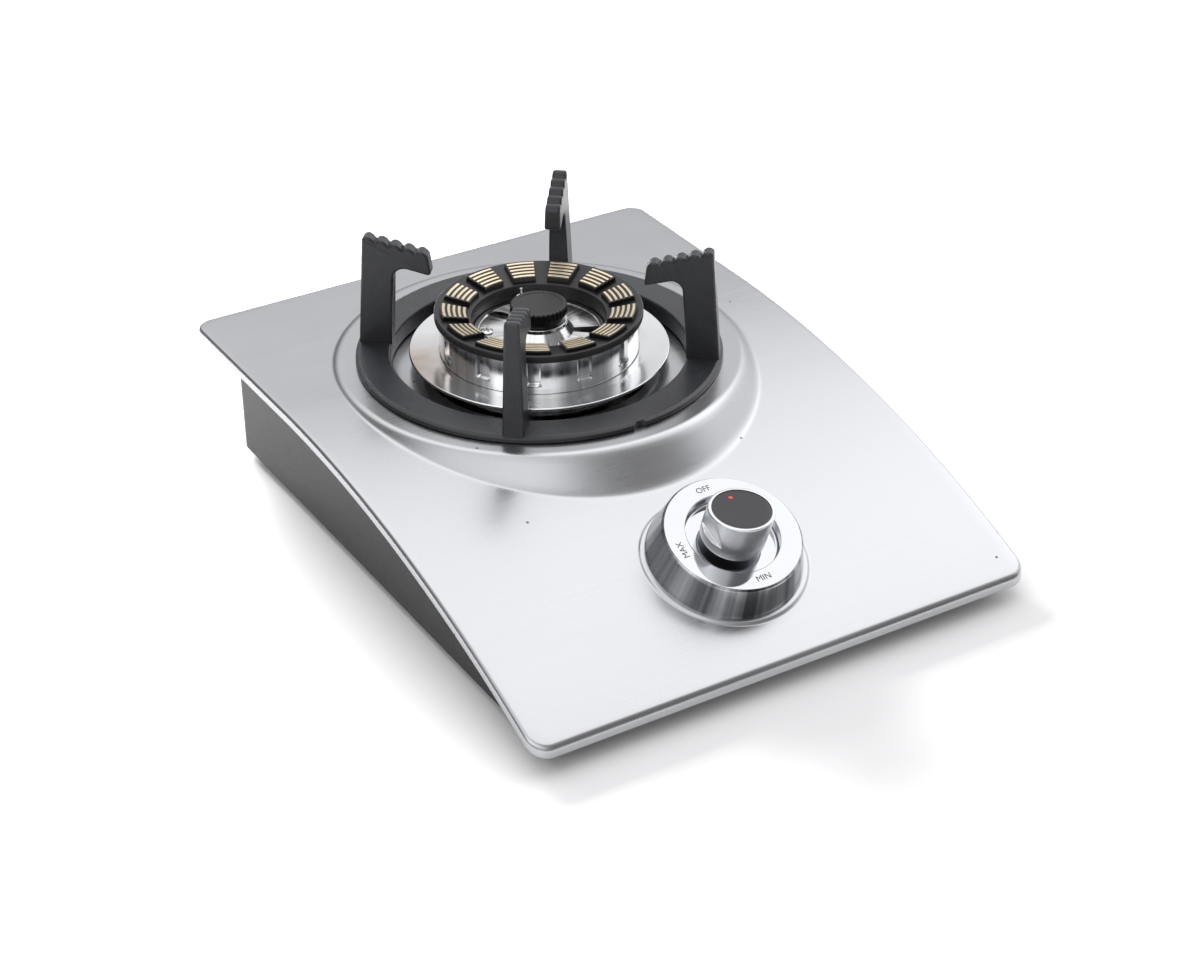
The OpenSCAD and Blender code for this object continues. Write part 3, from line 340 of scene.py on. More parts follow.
def make_piece(name, shell, finishes, body, nodes, angle=38.0, even=True):
    """Puts a shell into a mesh in metres with the finishes of those keys, merges its doubles, smooths it, and
    sets it on its CAD body. Even shading keeps wide flat faces flat and leaves the turn to the narrow edge
    faces."""
    mesh = bpy.data.meshes.new(name)
    mesh.from_pydata((np.concatenate(shell.points) * MM).tolist(), [], shell.faces)
    for key in finishes:
        mesh.materials.append(finish(bpy.context, key))
    mesh.polygons.foreach_set("material_index", np.array(shell.slots, np.int32))
    work = bmesh.new()
    work.from_mesh(mesh)
    bmesh.ops.remove_doubles(work, verts=work.verts, dist=WELD)
    bmesh.ops.recalc_face_normals(work, faces=work.faces)
    work.to_mesh(mesh)
    work.free()
    mesh.shade_smooth()
    mesh.set_sharp_from_angle(angle=math.radians(angle))
    piece = bpy.data.objects.new(name, mesh)
    bpy.context.scene.collection.objects.link(piece)
    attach(piece, body)
    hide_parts(*nodes)
    if even:
        shading = piece.modifiers.new("even_shading", "WEIGHTED_NORMAL")
        shading.keep_sharp = True
        shading.weight = 60
    return piece


# Finishes

def add(tree, kind, links=None, **settings):
    """Adds a node; links is {input: socket or value}, settings are its own fields."""
    node = tree.nodes.new(kind)
    for key, value in settings.items():
        setattr(node, key, value)
    for key, value in (links or {}).items():
        if isinstance(value, bpy.types.NodeSocket):
            tree.links.new(value, node.inputs[key])
        else:
            node.inputs[key].default_value = value
    return node


def calc(tree, operation, *values):
    """Result of a Math node on sockets or numbers."""
    return add(tree, "ShaderNodeMath", dict(enumerate(values)), operation=operation).outputs[0]


def vector_calc(tree, operation, *values):
    """Outputs of a Vector Math node on sockets or vectors."""
    return add(tree, "ShaderNodeVectorMath", dict(enumerate(values)), operation=operation).outputs


def noise(tree, vector, scale, detail, **more):
    """Value of a noise texture."""
    links = {"Vector": vector, "Scale": scale, "Detail": detail, **more}
    return add(tree, "ShaderNodeTexNoise", links).outputs[0]


def effect(name, inputs, outputs, build):
    """A shared shader node group, built once."""
    if name in bpy.data.node_groups:
        return bpy.data.node_groups[name]
    group = bpy.data.node_groups.new(name, "ShaderNodeTree")
    for label, kind, default in inputs:
        socket = group.interface.new_socket(label, in_out="INPUT", socket_type=kind)
        if default is not None:
            socket.default_value = default
    for label in outputs:
        group.interface.new_socket(label, in_out="OUTPUT", socket_type="NodeSocketFloat")
    start = group.nodes.new("NodeGroupInput")
    end = group.nodes.new("NodeGroupOutput")
    for label, socket in build(group, start.outputs).items():
        group.links.new(socket, end.inputs[label])
    return group


def build_lines(tree, given):
    """Brushed lines: noise on coordinates pressed together along X, in two widths."""
    along, across = 7.0, 1700.0
    wide = []
    for share in (1.0, 0.35):
        pressed = vector_calc(tree, "MULTIPLY", given["Vector"], (along, across * share, across * share))[0]
        wide.append(noise(tree, pressed, 1.0, 2.0))
    return {"Lines": calc(tree, "MULTIPLY", calc(tree, "ADD", *wide), 0.5)}


def build_mottle(tree, given):
    """Soft cloudy change and fine grain from two noises of the given scale."""
    fine = calc(tree, "MULTIPLY", given["Scale"], 11.0)
    return {"Cloud": noise(tree, given["Vector"], given["Scale"], 4.0, Roughness=0.6),
            "Grain": noise(tree, given["Vector"], fine, 3.0, Roughness=0.7)}


def build_specks(tree, given):
    """Sparse round specks: cells of a Voronoi pattern, kept where their random value is high."""
    cell = add(tree, "ShaderNodeTexVoronoi", {"Vector": given["Vector"], "Scale": given["Scale"]})
    near = spread(tree, cell.outputs["Distance"], 0.05, 0.09, 1.0, 0.0)
    chance = add(tree, "ShaderNodeSeparateColor", {0: cell.outputs["Color"]}).outputs[0]
    return {"Mask": calc(tree, "MULTIPLY", near, calc(tree, "GREATER_THAN", chance, 0.93))}


def build_painted_reflection_bands(tree, given):
    """Bands that run along a round wall, used as painted reflections: noise on the direction from the axis, so
    that it closes on itself.
    """
    part = add(tree, "ShaderNodeSeparateXYZ", {0: given["Vector"]})
    flat = add(tree, "ShaderNodeCombineXYZ", {0: part.outputs[0], 1: part.outputs[1]})
    way = vector_calc(tree, "NORMALIZE", flat.outputs[0])[0]
    return {label: noise(tree, way, calc(tree, "MULTIPLY", given["Scale"], share), 2.0)
            for label, share in (("Broad", 1.0), ("Fine", 5.0))}


EFFECTS = {
    "brushed_lines": (["Lines"], build_lines),
    "mottle": (["Cloud", "Grain"], build_mottle),
    # bands of painted reflection on round walls
    "round_streaks": (["Broad", "Fine"], build_painted_reflection_bands),
    "specks": (["Mask"], build_specks),
}


def place_effect(tree, name, vector, scale=None):
    """Outputs of a shared effect placed in a material's tree."""
    outputs, build = EFFECTS[name]
    inputs = [("Vector", "NodeSocketVector", None)]
    links = {"Vector": vector}
    if scale is not None:
        inputs.append(("Scale", "NodeSocketFloat", 60.0))
        links["Scale"] = scale
    return add(tree, "ShaderNodeGroup", links, node_tree=effect(name, inputs, outputs, build)).outputs


def blend_colour(tree, factor, a, b):
    """Colour mixed from a to b by factor."""
    a, b = (v if isinstance(v, bpy.types.NodeSocket) else (*v, 1.0) for v in (a, b))
    return add(tree, "ShaderNodeMix", {0: factor, 6: a, 7: b}, data_type="RGBA").outputs[2]


def spread(tree, value, low, high, to_low, to_high):
    """Value moved from one range to another, held at its ends."""
    return add(tree, "ShaderNodeMapRange", {"Value": value, "From Min": low, "From Max": high,
                                            "To Min": to_low, "To Max": to_high}).outputs[0]


def soft_step(tree, value, low, high):
    """Smooth step of a value from 0 at low to 1 at high."""
    return add(tree, "ShaderNodeMapRange", {"Value": value, "From Min": low, "From Max": high},
               interpolation_type="SMOOTHSTEP").outputs[0]


def start_finish(name, metallic, **plain):
    """A new Principled material: its tree, its shader and its Object coordinates."""
    material = bpy.data.materials.new(name)
    material.use_nodes = True
    tree = material.node_tree
    shader = tree.nodes["Principled BSDF"]
    shader.inputs["Metallic"].default_value = metallic
    for key, value in plain.items():
        shader.inputs[key.replace("_", " ").title().replace("Ior", "IOR")].default_value = value
    where = tree.nodes.new("ShaderNodeTexCoord").outputs["Object"]
    return material, tree, shader, where


def coat(tree, shader, colour, roughness):
    """Sends a colour and a roughness to the shader."""
    tree.links.new(colour, shader.inputs["Base Color"])
    tree.links.new(roughness, shader.inputs["Roughness"])


def bump(tree, shader, height, strength, distance):
    """Sends a height through a Bump node to the shader's Normal."""
    node = add(tree, "ShaderNodeBump", {"Height": height, "Strength": strength, "Distance": distance})
    tree.links.new(node.outputs[0], shader.inputs["Normal"])


def scaled(colour, share):
    """Colour made darker or lighter by a share."""
    return tuple(min(1.0, c * share) for c in colour)


NOISE = (0.3, 0.7)  # range that most of a noise lies in


def toned(tree, cloud, colour, low, high):
    """Colour that changes with a cloud from a low to a high share of itself."""
    share = spread(tree, cloud, *NOISE, 0.0, 1.0)
    return blend_colour(tree, share, scaled(colour, low), scaled(colour, high))


def grained_finish(name, colour, roughness, metallic, scale, contrast, rough_spread, depth, **plain):
    """Colour, roughness and height that change with the mottle effect."""
    material, tree, shader, where = start_finish(name, metallic, **plain)
    field = place_effect(tree, "mottle", where, scale)
    coat(tree, shader, toned(tree, field["Cloud"], colour, 1 - contrast, 1 + contrast),
         spread(tree, field["Grain"], *NOISE, roughness - rough_spread, roughness + rough_spread))
    if depth:
        bump(tree, shader, field["Grain"], 0.5, depth)
    return material


def satin_steel_finish(name, colour):
    """Brushed sheet: fine lines in roughness and height, cloudy tone and sparse dark specks."""
    material, tree, shader, where = start_finish(name, 1.0, anisotropic=0.3)
    lines = place_effect(tree, "brushed_lines", where)[0]
    cloud = place_effect(tree, "mottle", where, 9.0)["Cloud"]
    specks = place_effect(tree, "specks", where, 85.0)[0]
    tone = calc(tree, "ADD", lines, cloud)
    share = spread(tree, tone, 0.8, 1.2, 0.0, 1.0)
    base = blend_colour(tree, share, scaled(colour, 0.975), scaled(colour, 1.025))
    coat(tree, shader, blend_colour(tree, specks, base, (0.12, 0.11, 0.10)),
         spread(tree, tone, 0.7, 1.3, 0.26, 0.34))
    bump(tree, shader, lines, 0.06, 0.00001)
    return material


def cast_iron_finish(name, colour, pale_top_z):
    """Charcoal enamel over a sand-cast skin, paler on the rib tops above pale_top_z metres."""
    material, tree, shader, where = start_finish(name, 0.0)
    field = place_effect(tree, "mottle", where, 120.0)
    height = add(tree, "ShaderNodeSeparateXYZ", {0: where}).outputs["Z"]
    pale_tops = calc(tree, "MULTIPLY", spread(tree, height, pale_top_z, pale_top_z + 0.006, 0.0, 0.8), field["Cloud"])
    base = toned(tree, field["Cloud"], colour, 0.85, 1.2)
    coat(tree, shader, blend_colour(tree, pale_tops, base, scaled(colour, 2.2)),
         spread(tree, field["Grain"], *NOISE, 0.25, 0.38))
    bump(tree, shader, field["Grain"], 0.35, 0.0002)
    return material


def heated_steel_finish(name, colour, burner_y):
    """Mirror steel with a brown heat tint that fades round the left side of the ring."""
    material, tree, shader, where = start_finish(name, 1.0)
    cloud = place_effect(tree, "mottle", where, 45.0)["Cloud"]
    spot = vector_calc(tree, "DISTANCE", where, (-0.069, burner_y + 0.012, 0.085))["Value"]
    heat = calc(tree, "MULTIPLY", spread(tree, spot, 0.012, 0.042, 1.0, 0.0), cloud)
    coat(tree, shader, blend_colour(tree, heat, colour, (0.36, 0.22, 0.12)),
         spread(tree, cloud, 0.3, 0.8, 0.14, 0.27))
    return material


def turned_finish(name, colour, roughness, streak, centre_y):
    """Machined metal: streaks that run round the burner's axis, and a little cloudiness."""
    material, tree, shader, where = start_finish(name, 1.0)
    moved = vector_calc(tree, "SUBTRACT", where, (0.0, centre_y, 0.0))[0]
    part = add(tree, "ShaderNodeSeparateXYZ", {0: moved}).outputs
    flat = add(tree, "ShaderNodeCombineXYZ", {0: part[0], 1: part[1]}).outputs[0]
    radius = vector_calc(tree, "LENGTH", flat)["Value"]
    rings = add(tree, "ShaderNodeCombineXYZ", {0: radius, 1: part[2]}).outputs[0]
    lathe = noise(tree, rings, streak, 3.0)
    cloud = place_effect(tree, "mottle", where, 70.0)["Cloud"]
    coat(tree, shader, toned(tree, cloud, colour, 0.88, 1.06),
         spread(tree, lathe, *NOISE, roughness - 0.06, roughness + 0.08))
    bump(tree, shader, lathe, 0.12, 0.00005)
    return material


def painted_reflection_finish(name, colour, roughness, place, tilt, scale, low, high):
    """Spun metal with painted reflections: dark and bright bands of base colour along the wall, broad ones and
    fine ones together, stand in for reflected light.
    """
    material, tree, shader, where = start_finish(name, 1.0)
    turned = add(tree, "ShaderNodeVectorRotate", {"Vector": where, "Center": place, "Angle": -tilt},
                 rotation_type="X_AXIS").outputs[0]
    bands = place_effect(tree, "round_streaks", vector_calc(tree, "SUBTRACT", turned, place)[0], scale)
    both = calc(tree, "MULTIPLY_ADD", bands["Fine"], 0.35, bands["Broad"])
    # base colour from the low to the high share of itself: painted reflection bands
    tone = spread(tree, both, 0.52, 0.85, 0.0, 1.0)
    coat(tree, shader, blend_colour(tree, tone, scaled(colour, low), scaled(colour, high)),
         spread(tree, bands["Fine"], *NOISE, roughness - 0.05, roughness + 0.07))
    return material


# Mottled finishes: roughness, metallic, scale, contrast, spread of the roughness, depth in metres
GRAINED = {
    "black_enamel": (0.30, 0.0, 140.0, 0.15, 0.06, 0.00005),
    "crown_black": (0.34, 0.0, 160.0, 0.2, 0.08, 0.00008),
    "mirror_chrome": (0.045, 1.0, 30.0, 0.02, 0.02, 0.0),
    "satin_chrome": (0.30, 1.0, 220.0, 0.015, 0.02, 0.0),
    "dark_inlay": (0.07, 0.0, 40.0, 0.1, 0.03, 0.0),
    "red_mark": (0.25, 0.0, 300.0, 0.08, 0.05, 0.0),
    "label_ink": (0.45, 0.0, 300.0, 0.1, 0.05, 0.0),
    "zinc_steel": (0.38, 1.0, 40.0, 0.12, 0.08, 0.00002),
    "bright_steel": (0.25, 1.0, 90.0, 0.06, 0.06, 0.00001),
    "foot_rubber": (0.75, 0.0, 150.0, 0.2, 0.08, 0.0001),
    "white_ceramic": (0.22, 0.0, 80.0, 0.04, 0.05, 0.00002),
    "lead_rubber": (0.6, 0.0, 120.0, 0.08, 0.06, 0.00003),
    "grey_plastic": (0.5, 0.0, 200.0, 0.1, 0.06, 0.00004),
    "plain_brass": (0.28, 1.0, 90.0, 0.08, 0.07, 0.00001),
    "pipe_aluminium": (0.36, 1.0, 60.0, 0.08, 0.07, 0.00002),
}

# Colours of the small parts
PLAIN_COLOURS = {
    "label_ink": (0.03, 0.03, 0.034),
    "zinc_steel": (0.55, 0.56, 0.57),
    "bright_steel": (0.62, 0.62, 0.61),
    "foot_rubber": (0.014, 0.014, 0.014),
    "white_ceramic": (0.80, 0.79, 0.75),
    "lead_rubber": (0.60, 0.57, 0.50),
    "grey_plastic": (0.09, 0.09, 0.095),
    "plain_brass": (0.68, 0.50, 0.22),
    "pipe_aluminium": (0.62, 0.61, 0.59),
}


def finish(context, key):
    """The finish of that name, made when it is first asked for."""
    name = key + "_finish"
    if name in bpy.data.materials:
        return bpy.data.materials[name]
    s = layout(context)
    # the dial flank's painted reflections start from the mirror chrome's colour
    tone = "mirror_chrome" if key == "spun_chrome" else key
    colour = PLAIN_COLOURS.get(key) or tuple(getattr(context.scene.wok_colours, tone))
    if key in GRAINED:
        plain = {"specular_ior_level": 0.25} if key == "black_enamel" else {}
        return grained_finish(name, colour, *GRAINED[key], **plain)
    burner_y = s.burner_y * MM
    makers = {
        "satin_steel": (satin_steel_finish,),
        "cast_iron": (cast_iron_finish, (s.ring_top + s.arm_h - 2) * MM),
        "polished_steel": (heated_steel_finish, burner_y),
        # the burner head's aluminium and the dial's flank get painted reflections: bands of darker and lighter
        # base colour
        "cast_aluminium": (painted_reflection_finish, 0.17, (0.0, burner_y, 0.0), 0.0, 3.0, 0.74, 1.12),
        "strip_brass": (turned_finish, 0.30, 1500.0, burner_y),
        "spun_chrome": (painted_reflection_finish, 0.2, (0.0, s.knob_y * MM, s.knob_z * MM), s.tilt, 2.2, 0.16, 1.3),
    }
    maker, *values = makers[key]
    return maker(name, colour, *values)


# Top panel

EDGE_STEP = 3.0  # millimetres between points on the panel's edge


def straight(p, q):
    """Points from p to just before q, about EDGE_STEP apart."""
    p, q = np.array(p, float), np.array(q, float)
    n = max(2, int(round(np.linalg.norm(q - p) / EDGE_STEP)))
    return p + (q - p) * (np.arange(n) / n)[:, None]


def quarter(cx, cy, r, start, steps=10):
    """Points and outward normals of a quarter circle from the angle start, without its end."""
    a = np.radians(start) + np.pi / 2 * np.arange(steps) / steps
    normal = np.stack([np.cos(a), np.sin(a)], -1)
    return np.array((cx, cy)) + r * normal, normal


def edge_path(s, inset, split_y, front):
    """Rounded edge of the panel, inset, from one end of the split line to the other, with its normals."""
    x, y, r = s.panel_w / 2 - inset, s.half_d - inset, s.corner_r - inset
    k = -1.0 if front else 1.0
    runs, normals = [], []

    def lay(points, normal):
        runs.append(points)
        normals.append(np.broadcast_to(np.array(normal, float), points.shape))

    lay(straight((k * x, split_y), (k * x, k * (y - r))), (k, 0))
    lay(*quarter(k * (x - r), k * (y - r), r, 0 if k > 0 else 180))
    lay(straight((k * (x - r), k * y), (-k * (x - r), k * y)), (0, k))
    lay(*quarter(-k * (x - r), k * (y - r), r, 90 if k > 0 else 270))
    lay(straight((-k * x, k * (y - r)), (-k * x, split_y)), (-k, 0))
    lay(np.array([[-k * x, split_y]]), (-k, 0))
    return np.concatenate(runs), np.concatenate(normals)


def foot_of(gap, low, high):
    """Radius at which the falling function gap(r) reaches zero, by halving the range."""
    for _ in range(40):
        mid = (low + high) / 2
        above = gap(mid) > 0
        low, high = np.where(above, mid, low), np.where(above, high, mid)
    return (low + high) / 2


def rear_field(s, rim):
    """Rays from the burner's axis to the rim. Height: well floor, quarter-round fillet, wall and lip, then
    the higher of the arched skin and a platform that ends in a sloping flank, creases rounded."""
    hole_r, fillet, lip, level = 65.0, 2.2, 1.6, 8.0
    top_crease, foot_crease, search = 2.4, 2.0, 60.0
    ray = rim - np.array((0.0, s.burner_y))
    far = np.linalg.norm(ray, axis=1)
    ray = ray / far[:, None]
    fixed = soften([(hole_r, s.well_z, 0), (s.well_r, s.well_z, fillet), (s.well_r, s.land_z, lip),
                    (s.land_r - level, s.land_z, 0)], 6, closed=False)
    fixed = np.insert(fixed, 1, [[hole_r + d, s.well_z] for d in (10, 18)], 0)
    gap = lambda r: s.land_z - (r - s.land_r) - skin(s, s.burner_y + r * ray[:, 1])
    foot = foot_of(gap, np.full(len(far), s.land_r), np.full(len(far), s.land_r + search))
    lead = [np.full(len(far), s.land_r - d) for d in (6.0, 4.5, 3.2, 2.2, 1.3, 0.6, 0.0)]
    flank = [s.land_r + (foot - s.land_r) * t for t in (0.12, 0.25, 0.45, 0.65, 0.8, 0.92, 1.0)]
    past = [foot + d for d in (0.4, 0.8, 1.3, 1.9, 3.2, 5.0)]
    out = [past[-1] + (far - past[-1]) * t for t in np.linspace(0, 1, 17)[1:]]
    r = np.stack(lead + flank + past + out)
    y = s.burner_y + r * ray[:, 1]
    base = skin(s, y)
    step = soft_min(np.full_like(r, s.land_z), s.land_z - (r - s.land_r), top_crease)
    z = soft_max(base, step, np.minimum(0.45 * (s.land_z - base), foot_crease))
    inner_r = np.repeat(fixed[:, :1], len(far), 1)
    inner_z = np.repeat(fixed[:, 1:], len(far), 1)
    r, z = np.concatenate([inner_r, r]), np.concatenate([inner_z, z])
    return np.stack([r * ray[:, 0], s.burner_y + r * ray[:, 1], z], -1)


def front_field(s, rim):
    """Rays over the arched skin from the hole under the knob to the rim, on ellipses that are circles as
    seen along the knob's axis; a low pressed lip lies round the dial's foot."""
    c = math.cos(s.tilt)
    ray = np.stack([rim[:, 0], (rim[:, 1] - s.knob_y) / c], -1)
    far = np.linalg.norm(ray, axis=1)
    ray = ray / far[:, None]
    lip_in, lip_out, lip_h, past = 44.2, 46.4, 1.0, 46.8
    lip = [np.full(len(far), d) for d in (8, 26, 40, 43, 44, *np.linspace(44.4, past, 7))]
    r = np.stack(lip + [past + (far - past) * t for t in np.linspace(0, 1, 19)[1:]])
    y = s.knob_y + r * ray[:, 1] * c
    return np.stack([r * ray[:, 0], y, skin(s, y) + lip_h * (1 - ramp(r, lip_in, lip_out))], -1)


def rim_field(s, path, normal):
    """Rim rows: a quarter-circle roll off the arched skin, a straight fall, and a small turn at the hem."""
    a = np.linspace(0, np.pi / 2, 9)[:, None]
    p = path[None] + normal[None] * (s.roll_r * np.sin(a))[..., None]
    z = skin(s, p[..., 1]) - s.roll_r * (1 - np.cos(a))
    end, y, hem_r = p[-1], p[-1][:, 1], 1.0
    fall = np.clip(s.arch_y - y, 0.0, None)
    hem = s.flat_z - s.arch_r + np.sqrt((s.arch_r - s.rim_h) ** 2 - fall ** 2)
    rows, heights = [p], [z]
    for t in (0.35, 0.7):
        rows.append(end[None])
        heights.append((z[-1] + (hem + hem_r - z[-1]) * t)[None])
    b = np.linspace(0, np.pi / 2, 5)[:, None]
    rows.append(end[None] - normal[None] * (hem_r * (1 - np.cos(b)))[..., None])
    heights.append(hem + hem_r * (1 - np.sin(b)))
    p, z = np.concatenate(rows), np.concatenate(heights)
    return np.concatenate([p, z[..., None]], -1)


class WOK_OT_top_panel(bpy.types.Operator):
    """Arched steel sheet with a burner platform and a rolled rim"""
    bl_idname = "wok.top_panel"
    bl_label = "Top panel"

    def execute(self, context):
        s = layout(context)
        split_y = -88.5  # line between the burner's rays and the dial's
        rear, rear_n = edge_path(s, s.roll_r, split_y, False)
        front, front_n = edge_path(s, s.roll_r, split_y, True)
        seam = straight(rear[-1], rear[0])[1:]
        shell = Shell()
        shell.grid(rear_field(s, np.concatenate([rear, seam])))
        shell.grid(front_field(s, np.concatenate([front, seam[::-1]])))
        shell.grid(rim_field(s, rear, rear_n), ring=False)
        shell.grid(rim_field(s, front, front_n), ring=False)
        piece = make_piece("top_panel_sheet", shell, ["satin_steel"], "body", ["top_panel"],
                           angle=50, even=False)
        up = np.zeros(len(piece.data.polygons) * 3)
        piece.data.polygons.foreach_get("normal", up)
        if up[2::3].sum() < 0:
            piece.data.flip_normals()
        wall = piece.modifiers.new("sheet", "SOLIDIFY")
        wall.thickness = s.sheet_t * MM
        wall.offset = -1.0
        return {"FINISHED"}


# Pan support

def arm_outline(s):
    """Outline of an arm in (radius, height): post, ribbed finger top, tip, and a rounded inner corner."""
    lean, slope, under = (math.tan(math.radians(v)) for v in (5, 14.5, 15.5))
    ribs_n, rib_h, rib_sink = 5, 2.7, 0.9
    line_z = s.ring_top + s.arm_h
    out_r = s.ring_r - s.arm_h * lean
    top = lambda r: line_z - (out_r - r) * slope
    low = top(s.finger_r) - s.finger_h
    corner_r = s.ring_in_r - 3.2
    pitch = (out_r - s.finger_r) / ribs_n
    r = np.linspace(out_r - 0.6, s.finger_r + 0.5, 61)
    wave = np.abs(np.cos(np.pi * (r - s.finger_r) / pitch + np.pi / 2))
    ribs = np.stack([r, top(r) - rib_sink + rib_h * wave ** 0.75], -1)
    foot = soften([(s.ring_in_r, s.ring_z, 0), (s.ring_r - 1.2, s.ring_z, 0),
                   (out_r, line_z - 1.0, 1.0), (out_r - 0.6, line_z, 0)], 4, closed=False)
    inner = soften([(s.finger_r + 0.2, top(s.finger_r) - 0.6, 0.8), (s.finger_r - 1.2, low, 1.6),
                    (corner_r, low + (corner_r - s.finger_r) * under, 6.5),
                    (s.ring_in_r, s.ring_z, 0)], 7, closed=False)
    return np.concatenate([foot[:-1], ribs, inner[:-1]])


class WOK_OT_pan_support(bpy.types.Operator):
    """Cast ring with four ribbed arms"""
    bl_idname = "wok.pan_support"
    bl_label = "Pan support"

    def execute(self, context):
        s = layout(context)
        turn, notch, notch_at, notch_r = math.radians(7.0), math.radians(-88.5), 107.5, 5.0
        low, sleeve, arms, edge = s.land_z - 7.0, s.ring_in_r + 4, 4, 1.5
        profile = soften([(s.ring_in_r, low, 0.7), (sleeve, low, 0.7), (sleeve, s.ring_z, 0.6),
                          (s.ring_r, s.ring_z, 0.7), (s.ring_r, s.ring_top - 1.2, 1.0),
                          (s.ring_r - 2.4, s.ring_top, 2.0), (s.ring_in_r, s.ring_top, 1.6)], 4)
        at_notch = 2 * np.pi + notch + np.linspace(-0.06, 0.06, 25)
        angles = np.sort(np.concatenate([turn_steps(220), at_notch]))
        off, along = notch_at * np.sin(angles - notch), notch_at * np.cos(angles - notch)
        near = np.where((np.abs(off) < notch_r) & (along > 0),
                        along - np.sqrt(np.maximum(notch_r ** 2 - off ** 2, 0)), np.inf)
        r = np.minimum(profile[:, :1], np.where(profile[:, :1] > notch_at - 8.5, near, np.inf))
        shell = Shell().grid(around(r, angles, profile[:, 1:], s.burner_y), torus=True)
        outline = arm_outline(s)
        height = s.arm_h + s.ring_h
        thick = lambda z: s.arm_foot_t + (s.arm_top_t - s.arm_foot_t) * (z - s.ring_z) / height
        u, v, w = np.moveaxis(slab(outline, thick, edge), -1, 0)
        for k in range(arms):
            shell.solid(swung(u, w, v, turn + math.pi / 4 + k * 2 * math.pi / arms, s.burner_y))
        make_piece("pan_support_casting", shell, ["cast_iron"], "support", ["pan_support"])
        return {"FINISHED"}


# Burner

class WOK_OT_drip_ring(bpy.types.Operator):
    """Polished, nearly flat ring with a rolled outer lip"""
    bl_idname = "wok.drip_ring"
    bl_label = "Drip ring"

    def execute(self, context):
        s = layout(context)
        t, sink, lip = s.drip_t, 2.2, 1.6
        z, edge = s.drip_z - sink, s.drip_z - lip
        inside, flat, rim = s.head_r + s.fit_gap, s.head_r + 5.3, s.drip_r - t
        profile = soften([(inside, z - t, 0), (flat, z - t, 2.0), (rim, edge - t, 0.3),
                          (rim, edge - lip, 0.2), (s.drip_r, edge - lip, 0.4), (s.drip_r, edge, 1.1),
                          (flat, z, 2.5), (inside, z, 0.3)], 5)
        shell = Shell().grid(revolve(profile, s.burner_y), torus=True)
        make_piece("drip_ring_sheet", shell, ["polished_steel"], "drip", ["drip_ring"])
        return {"FINISHED"}


def fluted_wall(s, profile, columns):
    """Head section turned about the axis; where the section is on the outer wall the radius is cut back by
    flutes that are open at the top."""
    t = turn_steps(columns)
    r, z = profile[:, :1] + 0 * t, profile[:, 1:] + 0 * t
    phase = (np.degrees(t) + s.flute_turn) * s.flutes / 360
    across = np.abs(phase - np.round(phase)) * 2 * np.pi * s.head_r / s.flutes
    floor_half, top_half, run_low, run_high = 3.6, 4.1, 2.2, 4.4
    mask = 1 - ramp(across, floor_half, top_half)
    rise = ramp(z, s.drip_z + run_low, s.drip_z + run_high)
    on_wall = ramp(r, s.head_r - 1.6, s.head_r - 1.2) * (r < s.head_r + 0.1)
    return around(r - s.flute_depth * mask * rise * on_wall, t, z, s.burner_y)


